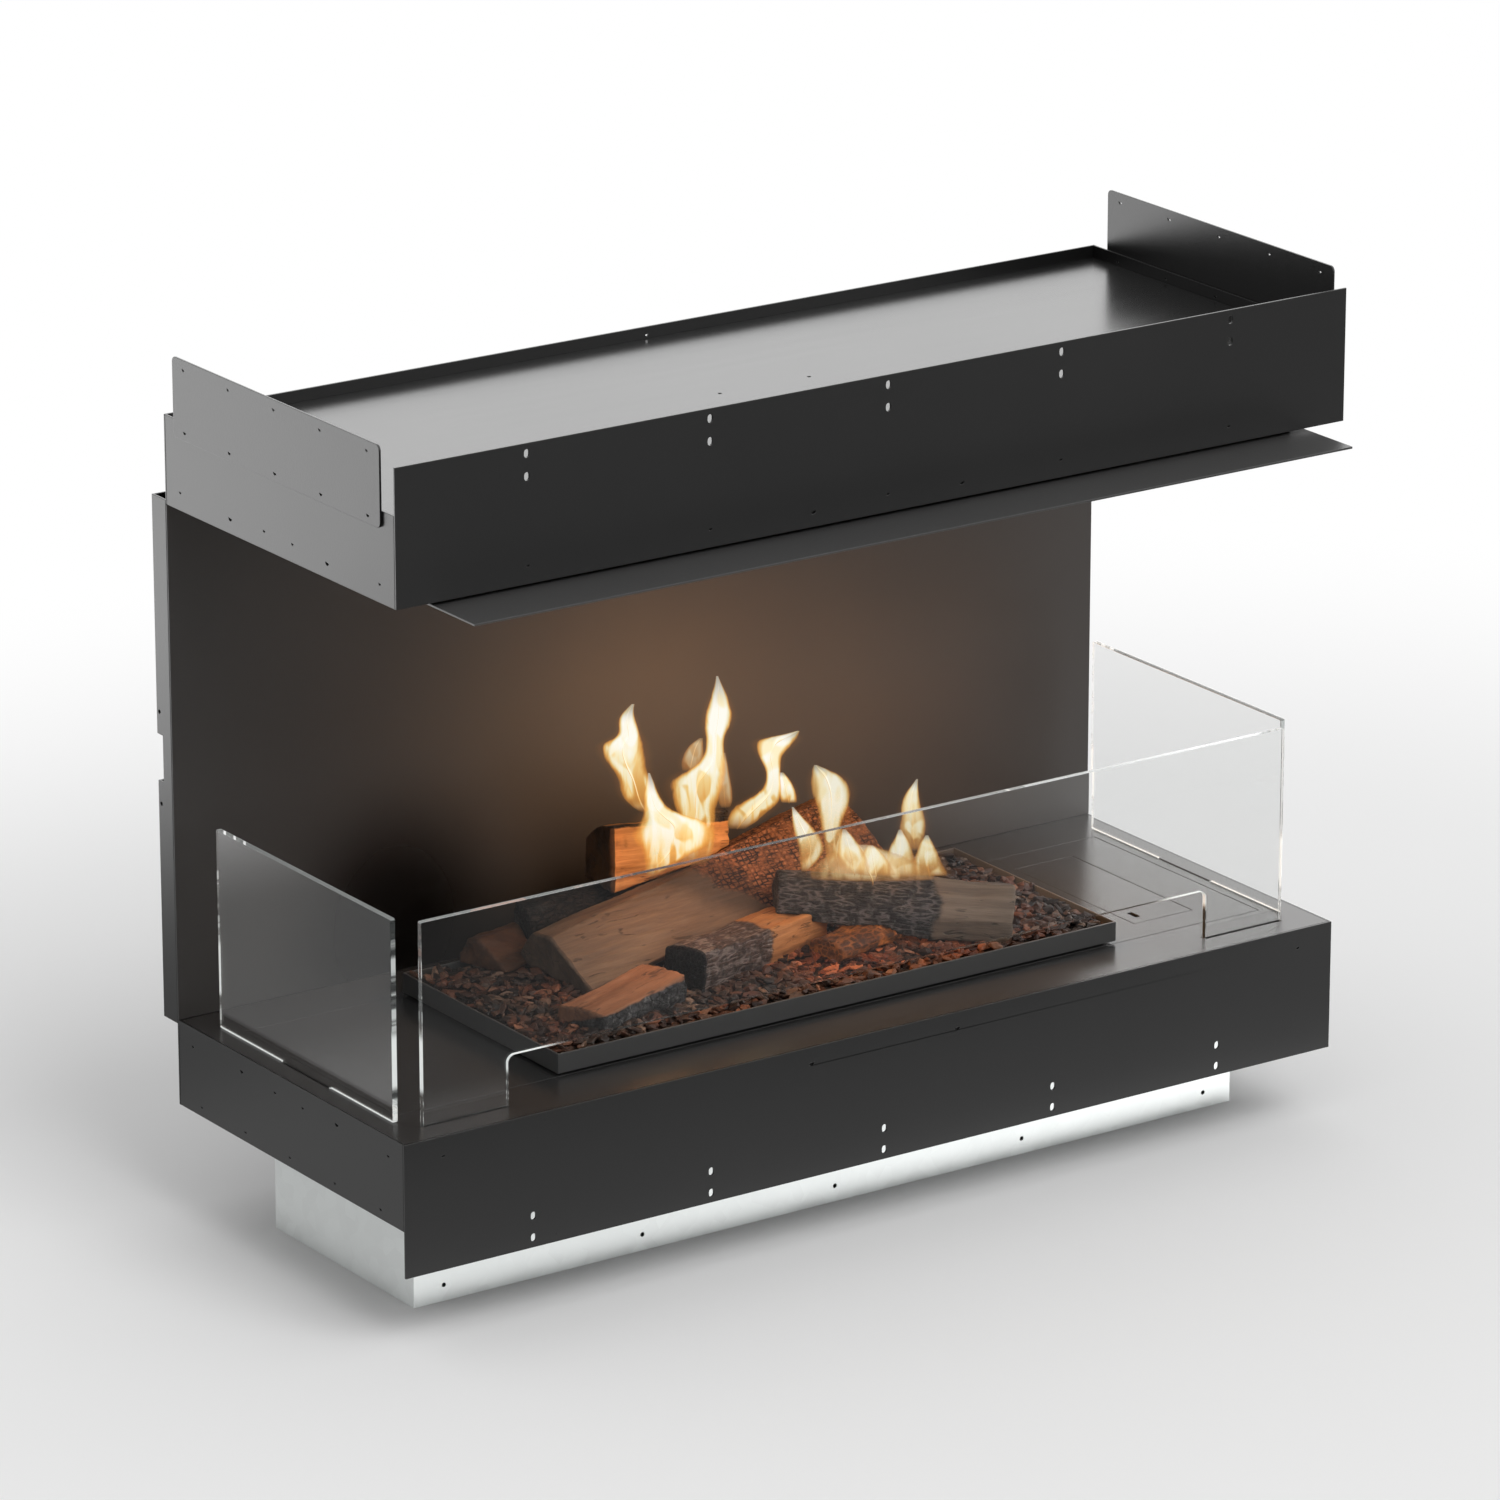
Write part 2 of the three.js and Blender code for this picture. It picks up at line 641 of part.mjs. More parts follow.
// Hood: four walls round a bottom pan and a recessed top pan, the front lip and the mounting plates
function makeHood() {
  const innerSide = sidePlane - sheet
  const innerFront = frontPlane + sheet + gap
  const innerBack = backPlane - sheet - gap

  const fascia = rectangle(-sidePlane, sidePlane, hoodBottom, hoodBottom + hoodFasciaHeight)
  fasciaHoles(fascia, hoodBottom + hoodFasciaHeight - slotEdge - slotPairPitch / 2,
    row(holeRowCount, slotPitch), hoodBottom + topHoleDrop, hoodBottom + bigHoleDrop)
  add('hood_front_fascia', plateY(fascia, frontPlane, frontPlane + sheet), blackSteel)

  const plateHoleLevel = hoodRim - plateOverlap + plateRowEdge
  for (const { name, sign } of sides) {
    const wall = rectangle(innerFront, innerBack, hoodBottom, hoodRim)
    sideHoles(wall, hoodBottom + topHoleDrop, hoodBottom + bigHoleDrop)
    for (const y of row(holeRowCount, platePitch)) wall.holes.push(roundHole(y, plateHoleLevel, holeRadius))
    add(`hood_${name}_side`, plateX(wall, ...sideSpan(sign, sidePlane, innerSide)), blackSteel)

    const plate = roundedRectangle(-plateLength / 2, plateLength / 2, hoodRim - plateOverlap,
      hoodRim - plateOverlap + plateHeight, plateCorner)
    const upperRow = hoodRim - plateOverlap + plateHeight - plateRowEdge
    for (const y of row(holeRowCount, platePitch)) {
      plate.holes.push(roundHole(y, plateHoleLevel, plateHoleRadius), roundHole(y, upperRow, plateHoleRadius))
    }
    const plateSpan = sideSpan(sign, sidePlane + gap, sidePlane + gap + sheet)
    add(`mounting_plate_${name}`, plateX(plate, ...plateSpan), blackSteel)
  }

  const rear = rectangle(-sidePlane, sidePlane, hoodBottom, hoodRim)
  rear.holes.push(roundHole(0, plateHoleLevel, holeRadius))
  add('hood_rear_panel', plateY(rear, backPlane - sheet, backPlane), blackSteel)

  const panSide = innerSide - gap
  add('hood_bottom_panel', cut(
    block(-panSide, panSide, innerFront, innerBack, hoodBottom, hoodBottom + hoodFlange),
    block(-panSide + sheet, panSide - sheet, innerFront + sheet, innerBack - sheet, hoodBottom + sheet,
      hoodBottom + hoodFlange + overrun),
  ), blackSteel)

  const marks = row(2, topMarkPitch).map(x => rodZ(holeRadius, hoodTop - sheet - overrun, hoodTop + overrun,
    x, 0, holeSides))
  add('hood_top_panel', cut(
    block(-panSide, panSide, innerFront, innerBack, hoodTop - hoodTopFlange, hoodTop),
    block(-panSide + sheet, panSide - sheet, innerFront + sheet, innerBack - sheet,
      hoodTop - hoodTopFlange - overrun, hoodTop - sheet),
    ...marks,
  ), blackSteel)

  // The lip hangs under the hood on a spacer strip, which leaves the thin slot behind its front part.
  const lipTop = hoodBottom - lipGap
  const holdBack = frontPlane + lipHold
  const lipSide = sidePlane - lipSideInset
  add('hood_lip', join(
    block(-lipSide, lipSide, frontPlane - lipDepth, holdBack, lipTop - sheet, lipTop),
    block(-lipSide, lipSide, holdBack - lipSpacer, holdBack, lipTop - sheet, hoodBottom - gap),
  ), blackSteel)
}

// Burner housing: a galvanised box with a turned-out flange that the deck and the burner plate lie on
function makeHousing() {
  const x = housingWidth / 2
  const y0 = burnerShift - housingDepth / 2
  const y1 = burnerShift + housingDepth / 2
  const top = underDeck
  const box = cut(
    block(-x, x, y0, y1, 0, top),
    block(-x + thinSheet, x - thinSheet, y0 + thinSheet, y1 - thinSheet, thinSheet, top + overrun),
  )
  const flange = cut(
    block(-x - housingFlange, x + housingFlange, y0 - housingFlange, y1 + housingFlange, top - thinSheet, top),
    block(-x, x, y0, y1, top - thinSheet - overrun, top + overrun),
  )
  const holePitch = (housingWidth - 2 * housingHoleEnd) / (holeRowCount - 1)
  const screws = row(holeRowCount, holePitch).map(at => rodY(housingHoleRadius, y0 - overrun,
    y0 + thinSheet + overrun, at, housingHoleRise, holeSides))
  const ventStart = -x + ventFromLeft
  const vents = row(ventCount, ventPitch).map(at => block(ventStart + at - ventWidth / 2,
    ventStart + at + ventWidth / 2, y1 - thinSheet - overrun, y1 + overrun, ventRise, ventRise + ventLength))
  const inletX = inletFromEnd - x
  const inlet = blockAt(inletX, y1, inletWidth + 2 * gap, 2 * (thinSheet + overrun),
    inletRise - inletHeight / 2 - gap, inletRise + inletHeight / 2 + gap)
  add('burner_housing', cut(join(box, flange), ...screws, ...vents, inlet), zinc)

  // Power inlet: a flanged socket with three flat pins, pushed in from behind.
  const back = y1 + gap + inletFlange / 2
  const body = join(
    blockAt(inletX, y1 - inletDepth / 2 + gap, inletWidth, inletDepth, inletRise - inletHeight / 2,
      inletRise + inletHeight / 2),
    block(inletX - inletWidth / 2 - inletFlange, inletX + inletWidth / 2 + inletFlange, y1 + gap, back,
      inletRise - inletHeight / 2 - inletFlange, inletRise + inletHeight / 2 + inletFlange),
  )
  const cavity = block(inletX - inletWidth / 2 + inletWall, inletX + inletWidth / 2 - inletWall,
    back - inletCavity, back + overrun, inletRise - inletHeight / 2 + inletWall,
    inletRise + inletHeight / 2 - inletWall)
  const pins = row(3, pinPitch).map(at => block(inletX + at - pinWidth / 2, inletX + at + pinWidth / 2,
    back - inletCavity - overrun, back - inletCavity + pinLength, inletRise - pinHeight / 2,
    inletRise + pinHeight / 2))
  add('power_inlet', join(cut(body, cavity), ...pins), blackPlastic)
}

// Burner: top plate, raised surround, trough with its slot plate, evaporator, igniter and flame sensor
function makeBurner() {
  const plateTop = deckHeight
  add('burner_top_plate', cut(
    blockAt(0, burnerShift, topPlateWidth, topPlateDepth, plateTop - sheet, plateTop),
    blockAt(0, burnerShift, troughWidth + 2 * troughClearance, troughDepth + 2 * troughClearance,
      plateTop - sheet - overrun, plateTop + overrun),
    blockAt(hatchX, burnerShift, hatchWidth + 2 * hatchSeat, hatchLength + 2 * hatchSeat,
      plateTop - sheet - overrun, plateTop + overrun),
  ), blackSteel)

  const flangeBottom = plateTop + gap
  const flangeTop = flangeBottom + thinSheet
  const flangeWidth = troughWidth + 2 * troughFlange
  const flangeDepth = troughDepth + 2 * troughFlange
  const bore = (x, y, radius) => rodZ(radius, troughFloor - overrun, troughFloor + thinSheet + overrun, x, y)
  const trough = cut(
    join(
      blockAt(0, burnerShift, troughWidth, troughDepth, troughFloor, flangeTop),
      blockAt(0, burnerShift, flangeWidth, flangeDepth, flangeBottom, flangeTop),
    ),
    blockAt(0, burnerShift, troughWidth - 2 * thinSheet, troughDepth - 2 * thinSheet, troughFloor + thinSheet,
      flangeTop + overrun),
    bore(feedX, burnerShift, stubRadius + neckClearance),
    bore(igniterX, burnerShift + sensorInset, igniterRadius + neckClearance),
    bore(sensorX, burnerShift + sensorInset, sensorRadius + neckClearance),
  )
  add('burner_trough', trough, stainless)

  const slotBottom = flangeTop + gap
  const slotPlate = rectangle(-flangeWidth / 2 + slotPlateEdge, flangeWidth / 2 - slotPlateEdge,
    burnerShift - flangeDepth / 2 + slotPlateEdge, burnerShift + flangeDepth / 2 - slotPlateEdge)
  for (const y of row(2, fireSlotPitch)) {
    const slot = roundedRectangle(-fireSlotLength / 2, fireSlotLength / 2, burnerShift + y - fireSlotWidth / 2,
      burnerShift + y + fireSlotWidth / 2, fireSlotWidth * fireSlotEndShare)
    slotPlate.holes.push(new THREE.Path(slot.getPoints(fireSlotSegments).reverse()))
  }
  add('burner_slot_plate', plateZ(slotPlate, slotBottom, slotBottom + thinSheet), stainless)

  const trayBottom = plateTop + surroundGap
  const trayTop = plateTop + surroundHeight
  const tray = cut(
    blockAt(0, burnerShift, surroundWidth, surroundDepth, trayBottom, trayTop),
    blockAt(0, burnerShift, surroundWidth - 2 * sheet, surroundDepth - 2 * sheet, trayBottom + sheet,
      trayTop + overrun),
  )
  const footWidth = surroundWidth - 2 * surroundFootInset
  const footDepth = surroundDepth - 2 * surroundFootInset
  const foot = cut(
    blockAt(0, burnerShift, footWidth, footDepth, plateTop + gap, trayBottom + sheet),
    blockAt(0, burnerShift, footWidth - 2 * surroundFootWidth, footDepth - 2 * surroundFootWidth,
      plateTop, trayBottom),
  )
  const fireOpening = blockAt(0, burnerShift, flangeWidth + slotPlateSeat, flangeDepth + slotPlateSeat,
    plateTop, trayBottom + sheet + overrun)
  add('burner_surround', cut(join(tray, foot), fireOpening), blackSteel)

  // The evaporator heats the fuel and lets the vapour out along a rail under the slots.
  const seat = troughFloor + thinSheet + gap
  const railZ = seat + evaporatorHeight / 2
  const railStart = feedX + evaporatorWidth / 2
  const railLength = troughWidth / 2 - railEnd - railStart
  const feet = [railFootInset, railLength - railFootInset].map(along => blockAt(railStart + along, burnerShift,
    railFoot, railRadius, seat, railZ))
  add('evaporator', cut(
    join(
      blockAt(feedX, burnerShift, evaporatorWidth, evaporatorDepth, seat, seat + evaporatorHeight),
      rodX(railRadius, railStart - gap, railStart + railLength, burnerShift, railZ),
      rodZ(stubRadius, troughFloor - inletStub, seat + gap, feedX, burnerShift),
      ...feet,
    ),
    rodZ(stubRadius / 2, troughFloor - inletStub - overrun, railZ, feedX, burnerShift, holeSides),
  ), stainless)

  const probe = (name, x, radius, reach, finish) => {
    const y = burnerShift + sensorInset
    const nutTop = troughFloor - gap
    add(name, join(
      rodZ(radius, nutTop - igniterNutHeight, troughFloor + reach, x, y, holeSides),
      rodZ(igniterNut, nutTop - igniterNutHeight, nutTop, x, y, nutSides),
    ), finish)
  }
  probe('glow_igniter', igniterX, igniterRadius, igniterReach, stainless)
  probe('flame_sensor', sensorX, sensorRadius, sensorReach, brassFinish)
}

// Fuel side: tank, filler neck and cap, level sensor, pump and the two fuel lines
function makeFuel() {
  const floor = thinSheet + gap
  const tankTop = troughFloor - tankHeadroom + floor
  const levelX = hatchX - levelFromFiller
  const levelY = tankBack - levelFromSide
  const shell = cut(
    block(tankLeft, tankRight, tankFront, tankBack, floor, tankTop),
    block(tankLeft + thinSheet, tankRight - thinSheet, tankFront + thinSheet, tankBack - thinSheet,
      floor + thinSheet, tankTop - thinSheet),
    rodZ(neckRadius + neckClearance, tankTop - thinSheet - overrun, tankTop + overrun, hatchX, fillerY),
    rodZ(levelHoleRadius, tankTop - thinSheet - overrun, tankTop + overrun, levelX, levelY),
    rodX(outletRadius + neckClearance, tankLeft - overrun, tankLeft + thinSheet + overrun, burnerShift,
      floor + outletRise),
  )
  add('fuel_tank', shell, stainless)

  const wellInside = wellFloor + thinSheet
  const neckTop = wellInside + neckRise
  const neckBase = wellInside + gap
  add('filler_neck', cut(
    join(
      rodZ(neckRadius, tankTop - neckDip, neckTop, hatchX, fillerY),
      rodZ(neckFlange, neckBase, neckBase + sheet, hatchX, fillerY),
    ),
    rodZ(neckBore, tankTop - neckDip - overrun, neckTop + overrun, hatchX, fillerY),
  ), stainless)

  const capBase = neckTop + gap + capTop - capHeight
  const capGrips = Array.from({ length: capGripCount }, (_, i) => {
    const angle = full * i / capGripCount
    return rodZ(capGripRadius, capBase - overrun, capBase + capHeight + overrun,
      hatchX + capRadius * Math.cos(angle), fillerY + capRadius * Math.sin(angle), holeSides)
  })
  const cap = cut(
    rodZ(capRadius, capBase, capBase + capHeight, hatchX, fillerY),
    rodZ(neckRadius + neckClearance, capBase - overrun, neckTop + gap, hatchX, fillerY),
    ...capGrips,
  )
  add('filler_cap', cap, blackPlastic)

  const sensorBase = tankTop + gap
  add('level_sensor', join(
    rodZ(levelFlangeRadius, sensorBase, sensorBase + levelFlangeHeight, levelX, levelY),
    rodZ(levelStemRadius, floor + levelStemRise, sensorBase + levelFlangeHeight / 2, levelX, levelY, holeSides),
    rodZ(floatRadius, sensorBase - floatDepth - floatHeight, sensorBase - floatDepth, levelX, levelY),
  ), blackPlastic)

  const pumpZ = floor + pumpRise
  const pumpFront = burnerShift - pumpLength / 2
  const bossTop = pumpZ + pumpRadius + outletBoss
  add('fuel_pump', join(
    rodY(pumpRadius, pumpFront, pumpFront + pumpLength, pumpX, pumpZ),
    rodZ(stubRadius, pumpZ, bossTop, pumpX, burnerShift, holeSides),
    blockAt(pumpX, burnerShift, pumpFootWidth, pumpFootLength, floor, pumpZ),
  ), brassFinish)

  // The suction line runs straight from the tank to the pump's foot, the feed line up to the evaporator's stub.
  const outletZ = floor + outletRise
  add('suction_line', rodX(lineRadius, pumpX + pumpFootWidth / 2 + gap, tankLeft + thinSheet + overrun,
    burnerShift, outletZ, lineSides), rubberFinish)
  add('feed_line', feedLine(bossTop + gap, troughFloor - inletStub - gap), rubberFinish)
}

// A tube that leaves the pump's outlet upwards and swings over to the evaporator's stub.
function feedLine(start, end) {
  const path = new THREE.CubicBezierCurve3(
    new THREE.Vector3(pumpX, burnerShift, start),
    new THREE.Vector3(pumpX, burnerShift, start + lineBend),
    new THREE.Vector3(feedX, burnerShift, end - lineBend),
    new THREE.Vector3(feedX, burnerShift, end),
  )
  const section = new THREE.Shape(Array.from({ length: lineSides }, (_, i) => new THREE.Vector2(
    lineRadius * Math.cos(full * i / lineSides), lineRadius * Math.sin(full * i / lineSides))))
  return solid(new THREE.ExtrudeGeometry(section, { steps: lineSteps, extrudePath: path }))
}

// Service well under the hatch, with the keypad, and the loose hatch that covers it
function makeService() {
  const well = cut(
    join(
      blockAt(hatchX, burnerShift, hatchWidth, hatchLength, wellFloor, underDeck),
      blockAt(hatchX, burnerShift, hatchWidth + 2 * wellFlange, hatchLength + 2 * wellFlange, underDeck - thinSheet,
        underDeck),
    ),
    blockAt(hatchX, burnerShift, hatchWidth - 2 * thinSheet, hatchLength - 2 * thinSheet, wellFloor + thinSheet,
      underDeck - thinSheet),
    blockAt(hatchX, burnerShift, hatchWidth - 2 * wellLedge, hatchLength - 2 * wellLedge,
      underDeck - thinSheet - overrun, underDeck + overrun),
    rodZ(neckRadius + neckClearance, wellFloor - overrun, wellFloor + thinSheet + overrun, hatchX, fillerY),
  )
  add('service_well', well, blackSteel)

  const lidBottom = underDeck + gap
  const lip = hatchWidth - 2 * wellLedge - 2 * hatchLip
  const lipLength = hatchLength - 2 * wellLedge - 2 * hatchLip
  const lid = join(
    blockAt(hatchX, burnerShift, hatchWidth, hatchLength, lidBottom, deckHeight),
    cut(
      blockAt(hatchX, burnerShift, lip, lipLength, lidBottom - hatchLip, lidBottom + sheet / 2),
      blockAt(hatchX, burnerShift, lip - 2 * sheet, lipLength - 2 * sheet, lidBottom - hatchLip - overrun, lidBottom),
    ),
  )
  const notch = blockAt(hatchX - hatchWidth / 2 + hatchNotchSide, hatchFront + hatchNotchEnd, hatchNotchWidth,
    hatchNotchLength, lidBottom - hatchLip - overrun, deckHeight + overrun)
  add('service_hatch', cut(lid, notch), blackSteel)

  const padBottom = wellFloor + thinSheet + gap
  const padTop = padBottom + keypadHeight
  const keypadY = hatchBack - keypadFromBack
  const places = row(3, buttonPitch).map(y => keypadY + y)
  const wells = places.map(y => rodZ(buttonRadius + buttonClearance, padTop - buttonWell, padTop + overrun,
    hatchX, y))
  add('keypad_panel', cut(blockAt(hatchX, keypadY, keypadWidth, keypadLength, padBottom, padTop), ...wells),
    blackPlastic)
  const names = ['button_down', 'button_power', 'button_up']
  places.forEach((y, i) => {
    const bottom = padTop - buttonWell + buttonTravel + gap
    const profile = [
      [0, bottom], [buttonRadius, bottom], [buttonRadius, padTop + buttonProud - buttonEdge],
      [buttonRadius - buttonEdge, padTop + buttonProud], [0, padTop + buttonProud],
    ].map(([r, z]) => new THREE.Vector2(r, z))
    const turned = new THREE.LatheGeometry(profile, roundSides).rotateX(full / 4)
    add(names[i], solid(turned.translate(hatchX, y, 0)), rubberFinish)
  })
}

// Control electronics in the left end of the housing: the board on its stand-offs and the cover over it
function makeControl() {
  const floor = thinSheet + gap
  const top = troughFloor - controlHeadroom + floor
  const right = controlRight
  const y0 = burnerShift - housingDepth / 2 + controlSideGap
  const y1 = burnerShift + housingDepth / 2 - controlSideGap
  add('control_box', cut(
    block(controlLeft, right, y0, y1, floor, top),
    block(controlLeft + thinSheet, right - thinSheet, y0 + thinSheet, y1 - thinSheet, floor - overrun,
      top - thinSheet),
    block(right - thinSheet - overrun, right + overrun, burnerShift - controlSlotWidth / 2,
      burnerShift + controlSlotWidth / 2, floor - overrun, floor + controlSlotHeight),
  ), zinc)

  const x0 = controlLeft + thinSheet + boardInset
  const x1 = right - thinSheet - boardInset
  const b0 = y0 + thinSheet + boardInset
  const b1 = y1 - thinSheet - boardInset
  const boardBottom = floor + boardRise
  const boardTop = boardBottom + boardThickness
  const corners = [[x0, b0], [x0, b1], [x1, b0], [x1, b1]].map(([x, y]) => rodZ(standoffRadius, floor,
    boardTop, x + Math.sign((x0 + x1) / 2 - x) * boardInset / 2, y - Math.sign(y - burnerShift) * boardInset / 2,
    holeSides))
  const relays = row(3, relaySize + boardInset / 2).map(y => blockAt(x0 + relaySize, burnerShift + y, relaySize,
    relaySize, boardBottom, boardTop + relayHeight))
  const capacitors = row(2, 3 * capacitorRadius).map(y => rodZ(capacitorRadius, boardBottom,
    boardTop + capacitorHeight, (x0 + x1) / 2, burnerShift + y, holeSides))
  const connectors = row(3, connectorWidth + boardInset / 2).map(y => blockAt(x1 - connectorDepth,
    burnerShift + y, connectorDepth, connectorWidth, boardBottom, boardTop + connectorHeight))
  add('control_board', join(block(x0, x1, b0, b1, boardBottom, boardTop), ...corners, ...relays,
    ...capacitors, ...connectors), greenBoard)
}

// Log outlines in shares of the log's width and height, and the places of both ends of each log in shares of
// the bed's length and depth, with its height over the deck and its thickness in shares of one log unit.
const outlineShares = {
  wedge: [[-0.50, -0.50], [0.46, -0.46], [0.50, -0.30], [-0.08, 0.50], [-0.30, 0.42], [-0.50, -0.20]],
  half: [[-0.50, -0.45], [0.50, -0.50], [0.48, -0.05], [0.32, 0.32], [0.02, 0.50], [-0.30, 0.36], [-0.48, 0]],
  block: [[-0.50, -0.48], [0.44, -0.50], [0.50, -0.10], [0.46, 0.46], [-0.10, 0.50], [-0.46, 0.40]],
  round: [[-0.30, -0.46], [0.26, -0.50], [0.48, -0.22], [0.50, 0.16], [0.28, 0.46], [-0.12, 0.50],
    [-0.44, 0.30], [-0.50, -0.12]],
  quarter: [[-0.44, -0.46], [0.46, -0.50], [0.50, -0.10], [0.46, 0.48], [0.10, 0.42], [-0.30, 0.14],
    [-0.50, -0.15]],
}
const logShares = [
  { name: 'log_dark_rear', outline: 'round', finish: burntWood, turn: [0, 10],
    from: [0.188, 0.960, 0.75], to: [0.536, 0.935, 0.83], width: [0.70, 0.76], height: [0.72, 0.92] },
  { name: 'log_small_left', outline: 'wedge', finish: paleWood, turn: [0, 0],
    from: [0.103, 0.887, 0.567], to: [0.233, 0.970, 0.583], width: [0.93, 0.95], height: [0.45, 0.48] },
  { name: 'log_front_middle', outline: 'block', finish: burntWood, turn: [0, 0],
    from: [0.307, 0.327, 0.61], to: [0.587, 0.524, 0.575], width: [0.76, 0.83], height: [0.66, 0.58] },
  { name: 'log_front_left', outline: 'block', finish: paleWood, turn: [0, 0],
    from: [0.087, 0.185, 0.45], to: [0.267, 0.306, 0.517], width: [0.93, 0.87], height: [0.33, 0.47] },
  { name: 'log_low_bark', outline: 'round', finish: burntWood, turn: [0, 0],
    from: [0.55, 0.282, 0.467], to: [0.775, 0.411, 0.52], width: [0.73, 0.77], height: [0.33, 0.37] },
  { name: 'log_main', outline: 'wedge', finish: paleWood, turn: [-6, 6],
    from: [0.165, 0.640, 0.65], to: [0.752, 0.815, 1.40], width: [1.53, 1.53], height: [0.62, 1.07] },
  { name: 'log_rear_stump', outline: 'quarter', finish: burntWood, turn: [0, 0],
    from: [0.317, 0.925, 1.72], to: [0.525, 0.900, 1.68], width: [0.98, 0.96], height: [1.00, 0.96] },
  { name: 'log_right_front', outline: 'half', finish: paleWood, turn: [0, -8],
    from: [0.533, 0.540, 1.16], to: [0.847, 0.137, 0.70], width: [0.77, 0.93], height: [0.64, 0.86] },
]

// A log is a loft of its outline between two ends, with a slow swell along its length. Growing it by a margin
// gives the cutter that leaves a gap to its neighbours.
function logSolid(log, margin) {
  const bedX = surroundWidth - 2 * sheet
  const bedY = surroundDepth - 2 * sheet
  const place = ([u, v, w]) => new THREE.Vector3((u - 0.5) * bedX, burnerShift + (v - 0.5) * bedY,
    deckHeight + w * logUnit)
  const start = place(log.from)
  const end = place(log.to)
  const along = end.clone().sub(start).normalize()
  const side = along.clone().cross(new THREE.Vector3(0, 0, 1)).normalize()
  const up = side.clone().cross(along)
  const outline = outlineShares[log.outline]
  const positions = []
  for (let i = 0; i < logRingCount; i++) {
    const t = i / (logRingCount - 1)
    const swell = 1 + knotShare * Math.sin(full * (t * knotCount + log.from[0]))
    const width = (log.width[0] + (log.width[1] - log.width[0]) * t) * logUnit * swell + 2 * margin
    const height = (log.height[0] + (log.height[1] - log.height[0]) * t) * logUnit * swell + 2 * margin
    const turn = THREE.MathUtils.degToRad(log.turn[0] + (log.turn[1] - log.turn[0]) * t)
    const centre = start.clone().lerp(end, t).addScaledVector(along, margin * (2 * t - 1))
    for (const [u, v] of outline) {
      const across = u * width * Math.cos(turn) - v * height * Math.sin(turn)
      const rise = u * width * Math.sin(turn) + v * height * Math.cos(turn)
      positions.push(...centre.clone().addScaledVector(side, across).addScaledVector(up, rise).toArray())
    }
  }
  const count = outline.length
  const index = []
  for (let i = 0; i < logRingCount - 1; i++) {
    for (let j = 0; j < count; j++) {
      const a = i * count + j
      const b = i * count + (j + 1) % count
      index.push(a, b + count, b, a, a + count, b + count)
    }
  }
  const last = (logRingCount - 1) * count
  for (let j = 1; j < count - 1; j++) {
    index.push(0, j, j + 1, last, last + j + 1, last + j)
  }
  const geometry = new THREE.BufferGeometry()
  geometry.setAttribute('position', new THREE.Float32BufferAttribute(positions, 3))
  geometry.setIndex(index)
  return solid(geometry)
}

// Ember bed and logs: the chips fill the surround but leave the fire slots free, and each log is cut by the
// ones laid before it
function makeFire() {
  const bottom = deckHeight + surroundGap + sheet + gap
  const width = surroundWidth - 2 * sheet - 2 * gap
  const depth = surroundDepth - 2 * sheet - 2 * gap
  const slab = new THREE.BoxGeometry(width, depth, bedDepthTop, bedColumns, bedRows, 1)
  const place = slab.attributes.position
  for (let i = 0; i < place.count; i++) {
    if (place.getZ(i) > 0) {
      const u = place.getX(i) / width
      const v = place.getY(i) / depth
      const wave = Math.sin(full * bedWaveCount.alongX * u) * Math.cos(full * bedWaveCount.acrossY * v)
      const slant = Math.sin(full * (bedWaveCount.slantX * u + bedWaveCount.slantY * v))
      place.setZ(i, place.getZ(i) + bedWave * (wave + slant / 2))
    }
  }
  slab.translate(0, burnerShift, bottom + bedDepthTop / 2)
  const grown = logShares.map(log => logSolid(log, gap))
  const trayInside = blockAt(0, burnerShift, width, depth, bottom, hoodBottom)
  const trenches = row(2, fireSlotPitch).map(y => blockAt(0, burnerShift + y, fireSlotLength, bedTrenchWidth,
    bottom - overrun, bottom + bedDepthTop + overrun))
  add('ember_bed', cut(solid(slab), ...trenches, ...grown), charcoal)

  logShares.forEach((log, i) => {
    const inTray = logSolid(log, 0).intersect(trayInside)
    add(log.name, cut(inTray, ...grown.slice(0, i)), log.finish)
  })
}

makeHousing()
makeLowerBox()
makeBurner()
makeFuel()
makeService()
makeControl()
makeBack()
makeHood()
makeGlass()
makeFire()

export default fireplace
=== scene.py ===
import math
import random

import bpy
import numpy as np
from mathutils import Matrix, Vector


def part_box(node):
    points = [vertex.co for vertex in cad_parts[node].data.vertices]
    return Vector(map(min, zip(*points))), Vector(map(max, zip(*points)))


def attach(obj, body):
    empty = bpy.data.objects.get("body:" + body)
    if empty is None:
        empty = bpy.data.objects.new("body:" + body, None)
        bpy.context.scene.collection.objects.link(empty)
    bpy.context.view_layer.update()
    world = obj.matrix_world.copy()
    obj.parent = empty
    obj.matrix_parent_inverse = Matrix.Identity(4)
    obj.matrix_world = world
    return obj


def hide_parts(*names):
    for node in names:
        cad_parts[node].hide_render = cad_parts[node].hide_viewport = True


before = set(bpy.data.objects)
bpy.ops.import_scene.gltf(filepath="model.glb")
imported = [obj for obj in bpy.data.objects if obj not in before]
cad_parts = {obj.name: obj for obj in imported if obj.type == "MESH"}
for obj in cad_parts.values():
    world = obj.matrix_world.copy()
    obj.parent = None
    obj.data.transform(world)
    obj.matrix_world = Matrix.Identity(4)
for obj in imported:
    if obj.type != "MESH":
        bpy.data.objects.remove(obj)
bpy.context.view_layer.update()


# Camera
# A long lens, well away to the left of the front and above the hood, that looks down by 18 degrees.
camera_place = (-3.9416, -5.7042, 2.6993)
camera_tilt = math.radians(71.615)
camera_heading = math.radians(-34.539)
bpy.ops.object.select_all(action="DESELECT")
